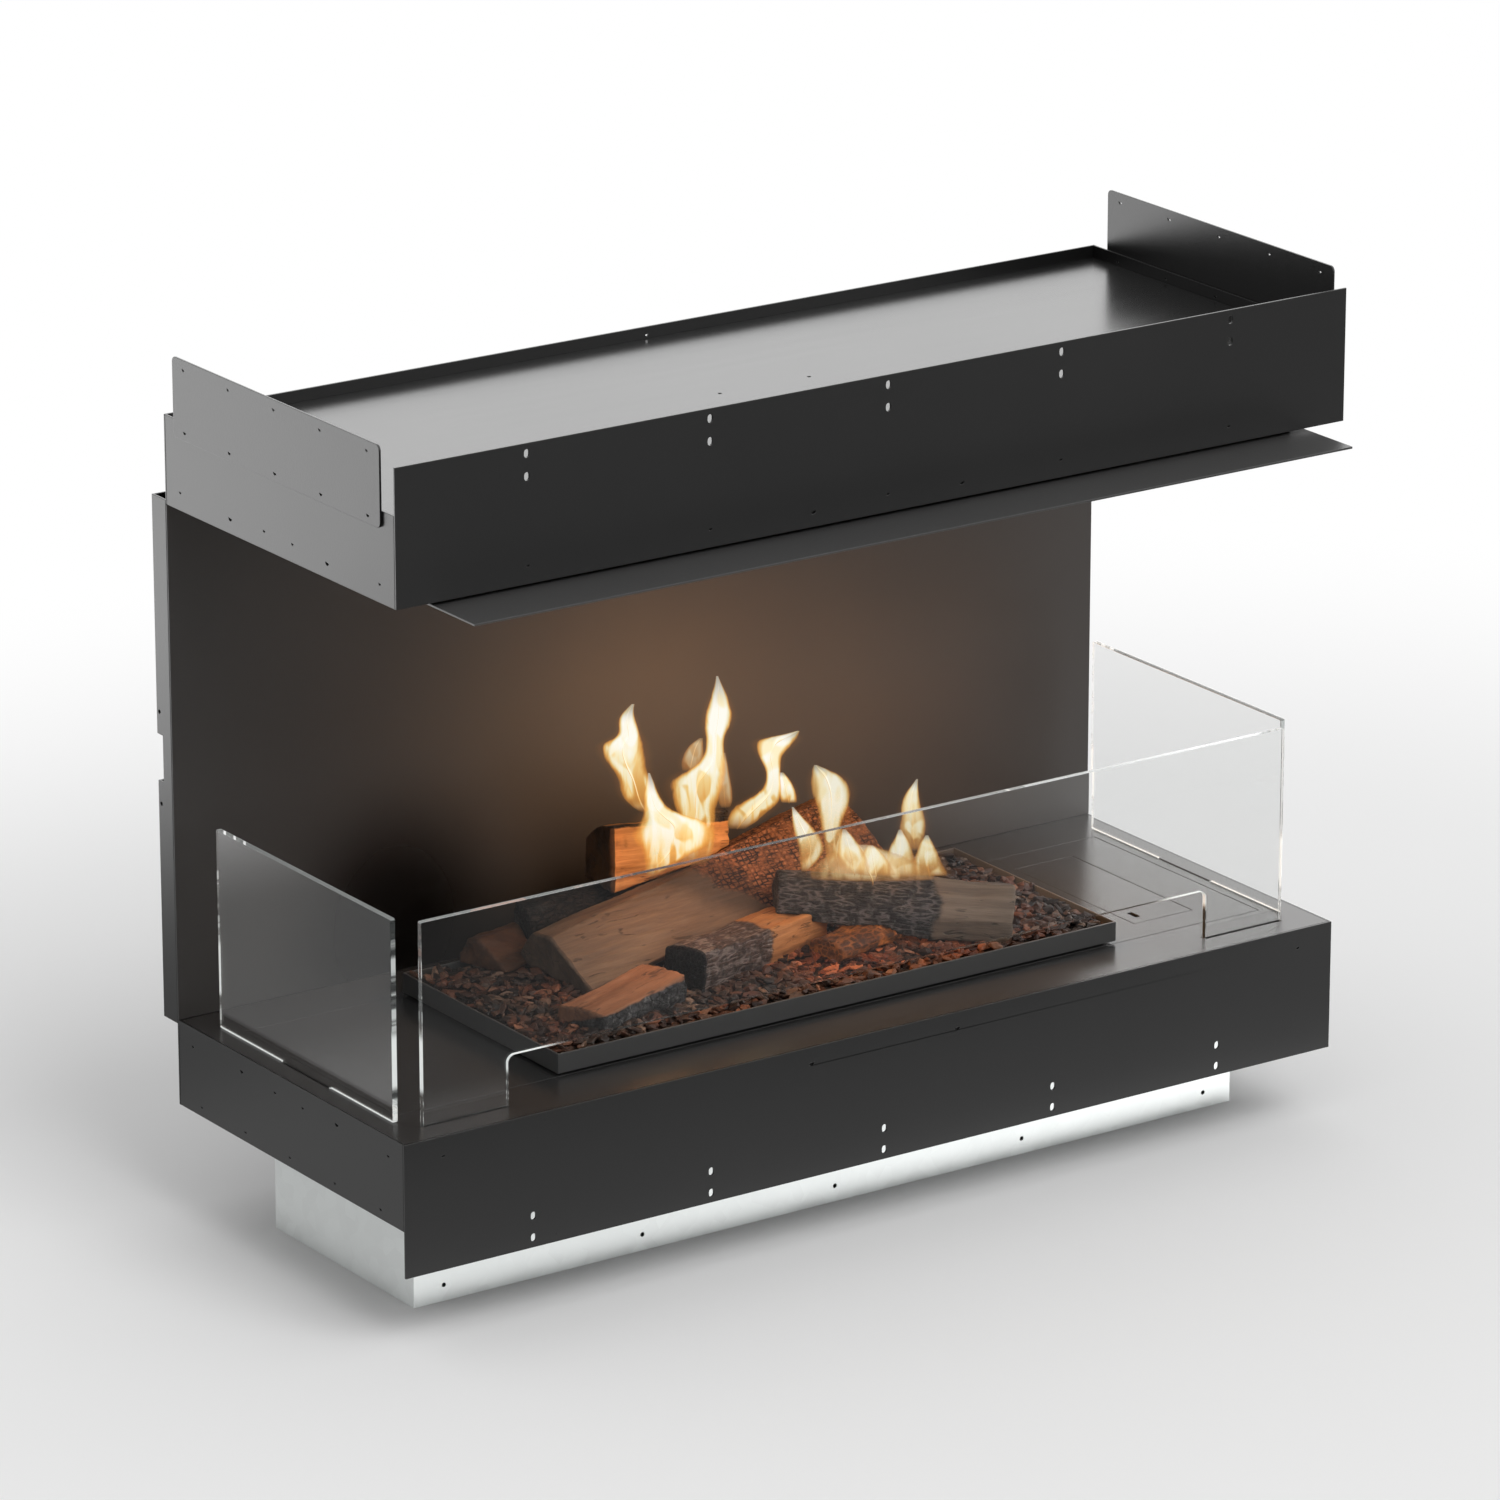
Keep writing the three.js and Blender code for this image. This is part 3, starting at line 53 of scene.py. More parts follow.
bpy.ops.object.camera_add(location=camera_place, rotation=(camera_tilt, 0, camera_heading))
camera = bpy.context.object
camera.name = "camera"
camera.data.lens = 197.14
camera.data.sensor_width = 36
camera.data.clip_end = 100
bpy.context.scene.camera = camera
bpy.context.scene.view_settings.view_transform = "Standard"


# Studio
# A pale floor that runs out to white, one broad soft lamp above the front and a pale room that is
# brighter overhead. Gloss sees a lit room over the horizon, and a floor with bright and dim zones.
class Paint:
    """One socket of a finish, so that its sums are written as Python sums."""

    def __init__(self, tree, socket=None):
        self.tree = tree
        self.socket = socket
        self.is_wide = socket is not None and socket.type in ("RGBA", "VECTOR")

    def node(self, kind, settings=None, inputs=None, output=0):
        made = self.tree.nodes.new("ShaderNode" + kind)
        for name, value in (settings or {}).items():
            if name != "stops":
                setattr(made, name, value)
                continue
            while len(made.color_ramp.elements) < len(value):
                made.color_ramp.elements.new(0.5)
            for stop, (place, colour) in zip(made.color_ramp.elements, value):
                stop.position = place
                stop.color = (*colour, 1)
        for name, value in (inputs or {}).items():
            self.feed(made.inputs[name], value)
        return Paint(self.tree, made.outputs[output])

    def feed(self, socket, value):
        if isinstance(value, Paint):
            self.tree.links.new(socket, value.socket)
        elif socket.type == "RGBA":
            socket.default_value = (*value, 1)
        elif socket.type == "VECTOR" and isinstance(value, (int, float)):
            socket.default_value = (value, value, value)
        else:
            socket.default_value = value

    def sum(self, operation, first, second):
        wide = any(isinstance(value, tuple) or getattr(value, "is_wide", False)
                   for value in (first, second))
        kind = "VectorMath" if wide else "Math"
        return self.node(kind, {"operation": operation}, {0: first, 1: second})

    def __add__(self, other):
        return self.sum("ADD", self, other)

    def __radd__(self, other):
        return self.sum("ADD", other, self)

    def __sub__(self, other):
        return self.sum("SUBTRACT", self, other)

    def __rsub__(self, other):
        return self.sum("SUBTRACT", other, self)

    def __mul__(self, other):
        return self.sum("MULTIPLY", self, other)

    def __rmul__(self, other):
        return self.sum("MULTIPLY", other, self)

    def ray(self, kind):
        return self.node("LightPath", output=kind)

    def larger(self, other):
        return self.sum("MAXIMUM", self, other)

    def smaller(self, other):
        return self.sum("MINIMUM", self, other)

    def size(self):
        return self.node("Math", {"operation": "ABSOLUTE"}, {0: self})

    def length(self):
        return self.node("VectorMath", {"operation": "LENGTH"}, {0: self}, "Value")

    def step(self, low, high, start=0.0, end=1.0):
        return self.node("MapRange", {"interpolation_type": "SMOOTHSTEP"}, {
            "Value": self, "From Min": low, "From Max": high, "To Min": start, "To Max": end})

    def between(self, first, second):
        return self.node("Mix", {"data_type": "RGBA"}, {0: self, 6: first, 7: second}, 2)

    def part(self, axis):
        return self.node("SeparateXYZ", {}, {"Vector": self}, axis)

    def place(self, centre=(0, 0, 0), turn=(0, 0, 0)):
        seen = self.node("TexCoord", output="Object")
        return self.node("Mapping", {"vector_type": "TEXTURE"}, {
            "Vector": seen, "Location": centre, "Rotation": turn})

    def stretch(self, scale):
        return self.node("Mapping", {"vector_type": "POINT"}, {"Vector": self, "Scale": scale})

    def noise(self, scale, detail=2.0, roughness=0.5, distortion=0.0, output=0):
        return self.node("TexNoise", {}, {
            "Vector": self, "Scale": scale, "Detail": detail, "Roughness": roughness,
            "Distortion": distortion}, output)

    def cells(self, scale, feature="F1", output="Distance", randomness=1.0):
        return self.node("TexVoronoi", {"feature": feature},
                         {"Vector": self, "Scale": scale, "Randomness": randomness}, output)


def begin(name):
    """Opens a new finish and gives back the start of its nodes."""
    finish = bpy.data.materials.new(name)
    finish.use_nodes = True
    start = Paint(finish.node_tree)
    start.finish = finish
    return start


def show(start, shader):
    """Lets the surface show another shader than the usual one."""
    output = start.tree.nodes["Material Output"]
    start.tree.links.new(output.inputs["Surface"], shader.socket)


def seen_in_gloss_or_plainly(start):
    """Gives 1 for what a reflection sees, and 1 for what the camera sees, straight or through glass.
    What a gloss throws on to a dull surface loses most of its share."""
    lost_when_scattered = 0.85
    bounced = start.ray("Glossy Depth").smaller(1.0)
    scattered = start.ray("Diffuse Depth").smaller(1.0) * lost_when_scattered
    direct = start.ray("Is Camera Ray").larger(start.ray("Is Transmission Ray"))
    return bounced * (1 - start.ray("Is Diffuse Ray")) * (1 - scattered), direct * (1 - bounced)


bpy.ops.mesh.primitive_plane_add(size=60, location=(0, 6, 0))
floor = bpy.context.object
floor.name = "floor"
bpy.ops.object.transform_apply(location=True)
start = begin("floor_paper")
spot = start.node("TexCoord", output="Object")
across = spot.part("X")
behind = spot.part("Y")
ahead = behind * -1
glossy, plain = seen_in_gloss_or_plainly(start)
# What gloss sees of the floor: its usual level, and where, in metres, brighter and dimmer zones lie.
usual_level = 0.62
bright_behind = behind.step(0.85, 1.5) * 3.0
dim_behind = behind.step(0.35, 0.55) * 0.24
bright_foot = 0.8 + across.step(-0.3, 0.4) * 0.9
far_right = across.step(0.60, 0.85) * 0.6
mirrored = bright_behind - dim_behind + usual_level
mirrored = mirrored + ahead.step(0.08, 0.16) * bright_foot - ahead.step(0.25, 0.33) * bright_foot
mirrored = mirrored - ahead.step(0.56, 0.66) * (0.47 - far_right)
mirrored = mirrored - ahead.step(1.2, 1.5) * (far_right - 0.15)
past_front = ahead.step(0.115, 0.15)
past_back = behind.step(0.14, 0.20)
past_ends = across.size().step(0.43, 0.49)
outside = past_front.larger(past_back).larger(past_ends)
# What the camera sees: paper that turns to plain white between these two distances.
white = (spot * (0.85, 1.0, 1.0)).length().step(0.95, 1.9) * plain + outside * glossy
level = mirrored * glossy + (1 - glossy)
lit = start.node("Emission", {}, {"Color": (1, 1, 1), "Strength": level}, "Emission")
paper = start.node("BsdfDiffuse", {}, {"Color": (0.88, 0.88, 0.88), "Roughness": 0.0}, "BSDF")
show(start, start.node("MixShader", {}, {0: white, 1: paper, 2: lit}, "Shader"))
floor.data.materials.append(start.finish)

room = bpy.data.worlds.new("room")
room.use_nodes = True
bpy.context.scene.world = room
start = Paint(room.node_tree)
glossy, plain = seen_in_gloss_or_plainly(start)
way = start.node("TexCoord", output="Generated")
mirrored = way.part("X").step(-0.45, 0.25, start=0.5, end=2.1)
dome = way.part("Z").step(0.35, 0.80, start=0.05, end=1.0)
level = plain + (1 - plain) * (glossy * mirrored + (1 - glossy) * dome)
backdrop = room.node_tree.nodes["Background"]
start.feed(backdrop.inputs["Color"], (1, 1, 1))
start.feed(backdrop.inputs["Strength"], level)

lamp_tilt_to_front = math.radians(43)
lamp_tilt_to_right = math.radians(9)
lamp_breadth = math.radians(42)
bpy.ops.object.light_add(type="SUN", rotation=(lamp_tilt_to_front, lamp_tilt_to_right, 0))
overhead = bpy.context.object
overhead.name = "overhead_lamp"
overhead.data.energy = 1.2
overhead.data.angle = lamp_breadth
overhead.visible_glossy = False


# Burner housing
# A box of galvanised sheet that stands on the floor and carries everything else. It is folded and
# riveted, and shows the faint flowers of hot-dip zinc.
def close(start, sockets, height=None, depth=0.001):
    """Joins the worked values to the shader and gives back the finish."""
    shader = start.tree.nodes["Principled BSDF"]
    for name, value in sockets.items():
        start.feed(shader.inputs[name], value)
    if height is not None:
        bump = start.node("Bump", {}, {"Strength": 1.0, "Distance": depth, "Height": height}, "Normal")
        start.feed(shader.inputs["Normal"], bump)
    return start.finish


def choose(piece):
    """Leaves one object selected and active."""
    bpy.ops.object.select_all(action="DESELECT")
    piece.select_set(True)
    bpy.context.view_layer.objects.active = piece


def wear(piece, finish):
    """Gives a piece, new or carried over, one finish."""
    if not piece.material_slots:
        piece.data.materials.append(finish)
    for held in piece.material_slots:
        held.material = finish


def copy_of(node, name):
    """Copies a node's mesh, joins its loose triangles and drops the lines on its flat faces."""
    piece = bpy.data.objects.new(name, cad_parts[node].data.copy())
    bpy.context.scene.collection.objects.link(piece)
    choose(piece)
    bpy.ops.mesh.customdata_custom_splitnormals_clear()
    bpy.ops.object.mode_set(mode="EDIT")
    bpy.ops.mesh.select_all(action="SELECT")
    bpy.ops.mesh.remove_doubles(threshold=0.00001)
    bpy.ops.mesh.dissolve_limited(angle_limit=math.radians(1.5))
    bpy.ops.object.mode_set(mode="OBJECT")
    return piece


def use(piece, modifier):
    """Applies a modifier that has had its settings."""
    choose(piece)
    bpy.ops.object.modifier_apply(modifier=modifier.name)


def dress(node, body, finish, edge=0.0003, smooth=0):
    """Rounds the cut edges of a copy of a node's sheet, which is shown in the node's place."""
    piece = copy_of(node, node + "_skin")
    rounding = piece.modifiers.new("edges", "BEVEL")
    rounding.width = edge
    rounding.segments = 2
    rounding.limit_method = "ANGLE"
    rounding.angle_limit = math.radians(50)
    rounding.use_clamp_overlap = False
    use(piece, rounding)
    if smooth:
        bpy.ops.object.shade_smooth_by_angle(angle=math.radians(smooth))
    else:
        bpy.ops.object.shade_flat()
    wear(piece, finish)
    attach(piece, body)
    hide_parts(node)
    return piece


start = begin("galvanised_zinc")
place = start.place()
flowers = place.cells(70, output="Color").part("X")
smear = place.noise(9, 3, 0.6)
fine = place.noise(900, 2, 0.6)
shade = flowers * 0.10 + smear * 0.10 + 0.80
zinc = close(start, {
    "Base Color": shade.between((0.42, 0.43, 0.425), (0.86, 0.89, 0.88)),
    "Metallic": 0.7,
    "Roughness": flowers * 0.08 + smear * 0.12 + 0.36,
}, height=fine * 0.3 + flowers * 0.2, depth=0.0001)
dress("burner_housing", "casing", zinc, edge=0.0005)


# Lower casing
# Folded steel sheets, 1.5 to 2 mm thick, powder coated satin black after cutting and bending. The
# floor plate, the rear panel and two short sides close the box, and a taller plate hangs in front.
def powder_coat(name, colour, roughness, grain=0.00006):
    """Black powder coat: a fine orange peel, uneven gloss and a trace of dust."""
    start = begin(name)
    place = start.place()
    peel = place.noise(650, 2, 0.5)
    cloud = place.noise(4, 3, 0.55)
    dust = place.noise(2400, 1, 0.5).step(0.66, 0.78)
    return close(start, {
        "Base Color": (dust * 0.25 + cloud * 0.5).between(
            (colour * 0.8, colour * 0.8, colour * 0.8), (colour * 1.5, colour * 1.47, colour * 1.43)),
        "Roughness": cloud * 0.07 + peel * 0.05 + roughness,
        "IOR": 1.5,
    }, height=peel, depth=grain)


satin_black = powder_coat("satin_black_powder_coat", colour=0.012, roughness=0.24)
inner_black = powder_coat("inner_black_powder_coat", colour=0.008, roughness=0.40)
for sheet in ("lower_casing_floor", "lower_rear_panel"):
    wear(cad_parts[sheet], inner_black)
for sheet in ("lower_left_side", "lower_right_side", "lower_front_fascia"):
    dress(sheet, "casing", satin_black)


# Deck
# The flat frame round the burner, cut by laser with the slots that the glass stands in, and the
# burner's own top plate that lies flush in it. Both have the same black coat, a little glossier.
deck_black = powder_coat("glossy_black_deck_coat", colour=0.026, roughness=0.19, grain=0.000001)
dress("deck_plate", "casing", deck_black)
dress("burner_top_plate", "casing", deck_black)


# Glass holders
# Folded channels of thin steel under the deck that the tabs and legs of the panes stand in.
for side in ("front_left", "front_right", "left", "right"):
    wear(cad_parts["glass_holder_" + side], inner_black)


# Back wall
# One flat sheet with a matt black stove paint that stands the heat. It is a little dusty, and
# nearly black and a little glossier in a patch low at the left.
start = begin("matt_stove_paint")
place = start.place()
peel = place.noise(800, 2, 0.55)
soot = place.noise(5, 4, 0.6)
# A patch low at the left that is drawn nearly black.
from_dark_patch = (place - (-0.275, 0.18, 0.235)) * (1.0, 0.0, 0.9)
dark_patch = from_dark_patch.length().step(0.150, 0.03)
dusty = soot.between((0.021, 0.0204, 0.0198), (0.034, 0.033, 0.032))
stove_paint = close(start, {
    "Base Color": (dark_patch * 0.95).between(dusty, (0.002, 0.002, 0.002)),
    "Roughness": soot * 0.08 - dark_patch * 0.28 + 0.46,
    "IOR": 1.5,
}, height=peel, depth=0.00008)
dress("back_wall", "casing", stove_paint)


# Rear cover and uprights
# A shallow folded tray behind the back wall, over the two channels that join hood and casing.
dress("rear_cover", "casing", satin_black)
for channel in ("rear_upright_left", "rear_upright_right"):
    wear(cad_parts[channel], inner_black)


# Hood
# A flat box of the same coated sheet: sides, rear rim, a recessed glossy top, a tall fascia with
# pairs of oval screw holes, and a loose lip that comes forward below it.
start = begin("smooth_black_top")
place = start.place()
cloud = place.noise(3, 3, 0.5)
streak = place.stretch((2, 60, 1)).noise(1.5, 2, 0.5)
smooth_top = close(start, {
    "Base Color": cloud.between((0.010, 0.010, 0.010), (0.016, 0.016, 0.0155)),
    "Roughness": cloud * 0.05 + streak * 0.03 + 0.20,
    "IOR": 1.55,
}, height=place.noise(500, 2, 0.5), depth=0.00003)
dress("hood_top_panel", "casing", smooth_top)
for sheet in ("bottom_panel", "rear_panel", "left_side", "right_side", "front_fascia"):
    dress("hood_" + sheet, "casing", satin_black)
# The lip and the burner surround wear a lighter black. This is painted light: it stands for the light
# from above on the lip's top and the reflection on the surround's front.
lightened_black = powder_coat("black_coat_lightened_for_painted_light", colour=0.045, roughness=0.30)
dress("hood_lip", "casing", lightened_black)


# Mounting plates
# Flat ears at both ends of the hood with two rows of screw holes, which fix it to the masonry.
for plate in ("mounting_plate_left", "mounting_plate_right"):
    dress(plate, "casing", satin_black)


# Burner
# The stainless trough that holds the fire, with a slotted plate over it, an evaporator block that
# turns the fuel to vapour, a glow igniter and two sensors. The surround is a raised coated rim.
start = begin("brushed_stainless")
place = start.place()
brush = place.stretch((8, 700, 700)).noise(1.0, 3, 0.6)
warm_shift = place.noise(14, 2, 0.5)
stainless = close(start, {
    "Base Color": warm_shift.step(0.35, 0.7).between((0.50, 0.49, 0.47), (0.44, 0.38, 0.33)),
    "Metallic": 1.0,
    "Roughness": brush * 0.14 + 0.24,
}, height=brush, depth=0.00006)
for part in ("burner_trough", "burner_slot_plate", "evaporator", "flame_sensor"):
    wear(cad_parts[part], stainless)

start = begin("glow_igniter_ceramic")
place = start.place()
hot = place.part("Z").step(0.165, 0.19)
igniter_white = close(start, {
    "Base Color": hot.between((0.55, 0.52, 0.46), (0.20, 0.11, 0.07)),
    "Roughness": place.noise(300, 2, 0.5) * 0.2 + 0.6,
    "Emission Color": hot.between((0, 0, 0), (0.55, 0.10, 0.02)),
    "Emission Strength": 1.0,
}, height=place.noise(700, 2, 0.5), depth=0.0001)
wear(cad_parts["glow_igniter"], igniter_white)
# The surround's lighter black is painted light, for the reflection on its front.
dress("burner_surround", "casing", lightened_black, edge=0.0005)


# Fuel side
# A stainless tank with a threaded filler neck and cap, a level sensor, a small pump and the two
# thin brass lines that lead the fuel to the evaporator.
for part in ("fuel_tank", "level_sensor"):
    wear(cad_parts[part], stainless)

start = begin("drawn_brass")
place = start.place()
tarnish = place.noise(60, 3, 0.6)
brass = close(start, {
    "Base Color": tarnish.step(0.35, 0.7).between((0.72, 0.50, 0.20), (0.42, 0.27, 0.11)),
    "Metallic": 1.0,
    "Roughness": tarnish * 0.2 + 0.22,
}, height=place.noise(900, 1, 0.5), depth=0.00003)
for part in ("feed_line", "suction_line", "filler_neck"):
    wear(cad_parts[part], brass)

start = begin("moulded_black_plastic")
place = start.place()
pitted = place.cells(1500)
black_plastic = close(start, {
    "Base Color": place.noise(30, 2, 0.5).between((0.012, 0.012, 0.013), (0.022, 0.022, 0.023)),
    "Roughness": place.noise(200, 2, 0.5) * 0.12 + 0.42,
}, height=pitted, depth=0.00008)
wear(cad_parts["fuel_pump"], black_plastic)
dress("filler_cap", "cap", black_plastic, edge=0.0004, smooth=35)


# Service well and hatch
# A folded pan under the deck with the keypad and the filler in it. A narrow loose lid, flush with
# the top plate, covers it; its finger slot lifts it out.
wear(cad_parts["service_well"], inner_black)
dress("service_hatch", "hatch_lid", deck_black, edge=0.0004)
dress("keypad_panel", "casing", black_plastic, edge=0.0003, smooth=35)

start = begin("soft_black_rubber")
place = start.place()
rubber = close(start, {
    "Base Color": place.noise(80, 2, 0.5).between((0.016, 0.016, 0.017), (0.03, 0.03, 0.031)),
    "Roughness": place.noise(400, 2, 0.5) * 0.15 + 0.62,
}, height=place.noise(1800, 2, 0.5), depth=0.00005)
for key in ("power", "up", "down"):
    dress("button_" + key, key + "_key", rubber, edge=0.0003, smooth=35)


# Control box
# A plastic box in the housing's left bay with the circuit board, and the mains inlet at the back.
for part in ("control_box", "power_inlet"):
    wear(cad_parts[part], black_plastic)

start = begin("circuit_board_lacquer")
place = start.place()
tracks = place.stretch((1, 1, 0.01)).cells(260, "DISTANCE_TO_EDGE").step(0.02, 0.06)
board_green = close(start, {
    "Base Color": tracks.between((0.035, 0.10, 0.045), (0.012, 0.052, 0.022)),
    "Roughness": tracks * 0.1 + 0.35,
}, height=tracks, depth=0.00005)
wear(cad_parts["control_board"], board_green)


# Glass panes
# Clear tempered glass, ground and polished all round, 5 mm thick. Each side pane has one tab in
# the deck, and the front pane stands on two legs, so that air comes in under its middle.
start = begin("clear_glass")
wipe = start.place().noise(7, 2, 0.5)
clear_glass = close(start, {
    "Base Color": wipe.between((0.985, 0.992, 0.988), (0.996, 0.999, 0.997)),
    "Roughness": 0.0,
    "IOR": 1.5,
    "Transmission Weight": 1.0,
})
glass = Paint(start.tree, start.tree.nodes["Principled BSDF"].outputs["BSDF"])
no_shadow = start.node("BsdfTransparent", {}, {"Color": (0.97, 0.975, 0.97)}, "BSDF")
in_shadow = start.ray("Is Shadow Ray")
show(start, start.node("MixShader", {}, {0: in_shadow, 1: glass, 2: no_shadow}, "Shader"))

# Painted highlights: the edge faces get emission where the glass is cut low down, at legs and tabs,
# and in random places up its corners, for the light that real glass edges catch. The rest of the
# edge is faint, and hardly shows before the fire.
start = begin("glass_edge_with_painted_highlights")
place = start.place()
facing = start.node("NewGeometry", {}, {}, "Normal")
facing = facing * (1 - start.node("NewGeometry", {}, {}, "Backfacing") * 2)
across = place.part("X")
height = place.part("Z")
under = (facing.part("Z") * -1).step(0.2, 0.35)
over = facing.part("Z").step(0.2, 0.35)
upright = 1 - under.larger(over)
legs = across.size().step(0.31, 0.345)
ground = height.step(0.278, 0.262) * height.step(0.213, 0.222)
front_or_back = facing.part("Y").size().step(0.5, 0.8)
painted_glints_up_edge = place.stretch((1, 1, 55)).noise(1.0, 3, 0.6).step(0.44, 0.60) * front_or_back
foot = ground.larger(painted_glints_up_edge * 0.75)
before_fire = across.step(-0.28, -0.25) * across.step(0.01, -0.02)
# The painted highlight: emission on the edge faces, chosen by the way each face points and where it
# lies.
painted_edge_highlight = (under * legs).larger(upright * foot).larger(over * 0.45)
cover = under * (legs * 0.70 + 0.02) + upright * (foot * 0.62 + 0.10)
cover = cover + over * (0.36 - before_fire * 0.30)
painted_highlight_edge = close(start, {
    "Base Color": place.noise(90, 2, 0.5).between((0.42, 0.45, 0.44), (0.56, 0.59, 0.58)),
    "Roughness": place.noise(300, 2, 0.5) * 0.1 + 0.08,
    "Emission Color": painted_edge_highlight.between((0.05, 0.055, 0.052), (0.62, 0.64, 0.63)),
    "Emission Strength": 1.0,
    "Alpha": cover,
})
for node in ("left_glass", "right_glass", "front_glass"):
    pane = dress(node, node + "_pane", clear_glass, edge=0.0007)
    pane.data.materials.append(painted_highlight_edge)
    low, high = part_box(node)
    thin_way = 0 if high.x - low.x < high.y - low.y else 1
    for face in pane.data.polygons:
        if abs(face.normal[thin_way]) < 0.95:
            face.material_index = 1


# Ceramic chips
# Broken ceramic bark, 8 to 23 mm long, poured round the logs up to the rim. It is glazed by the
# kiln in browns, greys and black. In the middle it is painted redder, with a faint painted glow on
# some chips, for the firelight there.
def shard(name, size, seed):
    """Models one chip: a knocked-about lump, longer than it is wide, with a few broken faces."""
    bpy.ops.object.select_all(action="DESELECT")
    bpy.ops.mesh.primitive_ico_sphere_add(subdivisions=1, radius=0.5)
    chip = bpy.context.object
    chip.name = name
    bpy.ops.object.mode_set(mode="EDIT")
    bpy.ops.mesh.select_all(action="SELECT")
    bpy.ops.transform.resize(value=size)
    bpy.ops.transform.vertex_random(offset=size[2] * 0.42, seed=seed)
    bpy.ops.mesh.normals_make_consistent(inside=False)
    bpy.ops.object.mode_set(mode="OBJECT")
    return chip


random.seed(4)
shards = [
    shard("shard_flat", size=(0.0160, 0.0080, 0.0048), seed=1),
    shard("shard_long", size=(0.0190, 0.0064, 0.0046), seed=2),
    shard("shard_short", size=(0.0110, 0.0086, 0.0056), seed=3),
    shard("shard_sliver", size=(0.0150, 0.0052, 0.0038), seed=4),
    shard("shard_lump", size=(0.0130, 0.0100, 0.0066), seed=5),
]
low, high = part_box("ember_bed")
rim_gap = 0.006
slope_breadth = 0.012
slope_drop = 0.003
wave_height = 0.0022
tip_spread = 0.32
roll_spread = 0.24
smallest = 0.72
largest = 1.2
lower_layer = (1900, high.z - 0.0052)
upper_layer = (2300, high.z - 0.0022)
corners = []
faces = []
tints = []
for count, height in (lower_layer, upper_layer):
    for _ in range(count):
        x = random.uniform(low.x + rim_gap, high.x - rim_gap)
        y = random.uniform(low.y + rim_gap, high.y - rim_gap)
        from_edge = min(x - low.x, high.x - x, y - low.y, high.y - y)
        z = height + random.uniform(-0.0016, 0.0018)
        z -= slope_drop * max(0.0, 1 - from_edge / slope_breadth)
        z += wave_height * math.sin(x * 41 + 1) * math.sin(y * 47 + 2)
        lie = Matrix.Rotation(random.uniform(0, 2 * math.pi), 3, "Z")
        lie = lie @ Matrix.Rotation(random.gauss(0, tip_spread), 3, "X")
        lie = lie @ Matrix.Rotation(random.gauss(0, roll_spread), 3, "Y")
        lie *= random.uniform(smallest, largest)
        chip = random.choice(shards).data
        first = len(corners)
        corners.extend((lie @ vertex.co) + Vector((x, y, z)) for vertex in chip.vertices)
        faces.extend([first + index for index in face.vertices] for face in chip.polygons)
        tints.extend([random.random()] * len(chip.vertices))

base_under_chips = 0.0055
bed_base = copy_of("ember_bed", "bed_base")
bpy.ops.object.mode_set(mode="EDIT")
bpy.ops.mesh.select_all(action="SELECT")
bpy.ops.transform.resize(value=(1, 1, 1 - base_under_chips / (high.z - low.z)), center_override=low)
bpy.ops.object.mode_set(mode="OBJECT")

bed_mesh = bpy.data.meshes.new("ember_chips")
bed_mesh.from_pydata(corners, [], faces)
tint = bed_mesh.attributes.new("tint", "FLOAT", "POINT")
tint.data.foreach_set("value", tints)
chips = bpy.data.objects.new("ember_chips", bed_mesh)
bpy.context.scene.collection.objects.link(chips)
for chip in shards:
    bpy.data.objects.remove(chip)

start = begin("kiln_fired_chips")
place = start.place()
own = start.node("Attribute", {"attribute_name": "tint"}, {}, "Fac")
fleck = place.noise(420, 3, 0.65)
fired = start.node("ValToRGB", {"stops": [
    (0.0, (0.004, 0.003, 0.003)), (0.30, (0.018, 0.011, 0.008)), (0.52, (0.075, 0.038, 0.024)),
    (0.70, (0.022, 0.019, 0.017)), (0.86, (0.125, 0.075, 0.050)), (1.0, (0.21, 0.175, 0.145))]},
    {"Fac": own * 0.85 + fleck * 0.3 - 0.07})
patch = place.noise(16, 3, 0.6).step(0.46, 0.60)
fired = patch.between(fired * (1.15, 1.12, 1.1), fired * (1.8, 1.12, 0.82))
# Painted firelight: chips near the fire are drawn redder, and some get a faint painted glow.
from_fire = (place - (0.09, -0.055, 0.205)) * (1.0, 1.7, 0)
warm_shift = from_fire.length().step(0.20, 0.04)
chip_glaze = close(start, {
    "Base Color": (warm_shift * 0.75).between(fired * (0.88, 0.82, 0.78), fired * (1.6, 1.08, 0.8)),
    "Roughness": fleck * 0.3 + 0.42,
    "Emission Color": (warm_shift * own.step(0.5, 0.9)).between((0, 0, 0), (0.30, 0.060, 0.010)),
    "Emission Strength": 0.18,
}, height=place.noise(900, 3, 0.6), depth=0.0005)

start = begin("chip_dust")
place = start.place()
grit = place.cells(260)
dust_bed = close(start, {
    "Base Color": grit.between((0.010, 0.008, 0.007), (0.035, 0.024, 0.018)),
    "Roughness": 0.9,
}, height=grit, depth=0.003)

for piece, finish in ((chips, chip_glaze), (bed_base, dust_bed)):
    choose(piece)
    bpy.ops.object.shade_flat()
    wear(piece, finish)
    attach(piece, "casing")
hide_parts("ember_bed")


# Main log
# Ceramic cast from split beech, then painted. The left part keeps its clean split faces. From the
# middle on it is cracked into small square blocks with dark cracks, painted bright orange for the
# firelight on them. Painted shade darkens its left end and a band where the blocks begin, and a faint
# painted glow lies in its cracks at the right.
def lie_of(node):
    """Gives a log's middle and the turn that lays X along it, from its own mesh."""
    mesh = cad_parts[node].data
    points = np.array([vertex.co for vertex in mesh.vertices])
    centre = (points.min(0) + points.max(0)) / 2
    axes = np.linalg.svd(points - points.mean(0), full_matrices=False)[2]
    along = axes[0] * (1 if axes[0][0] > 0 else -1)
    side = np.cross((0, 0, 1), along)
    side = side / np.linalg.norm(side)
    top = np.cross(along, side)
    turn = Matrix((along, side, top)).transposed()
    return Vector(centre), turn.to_euler()


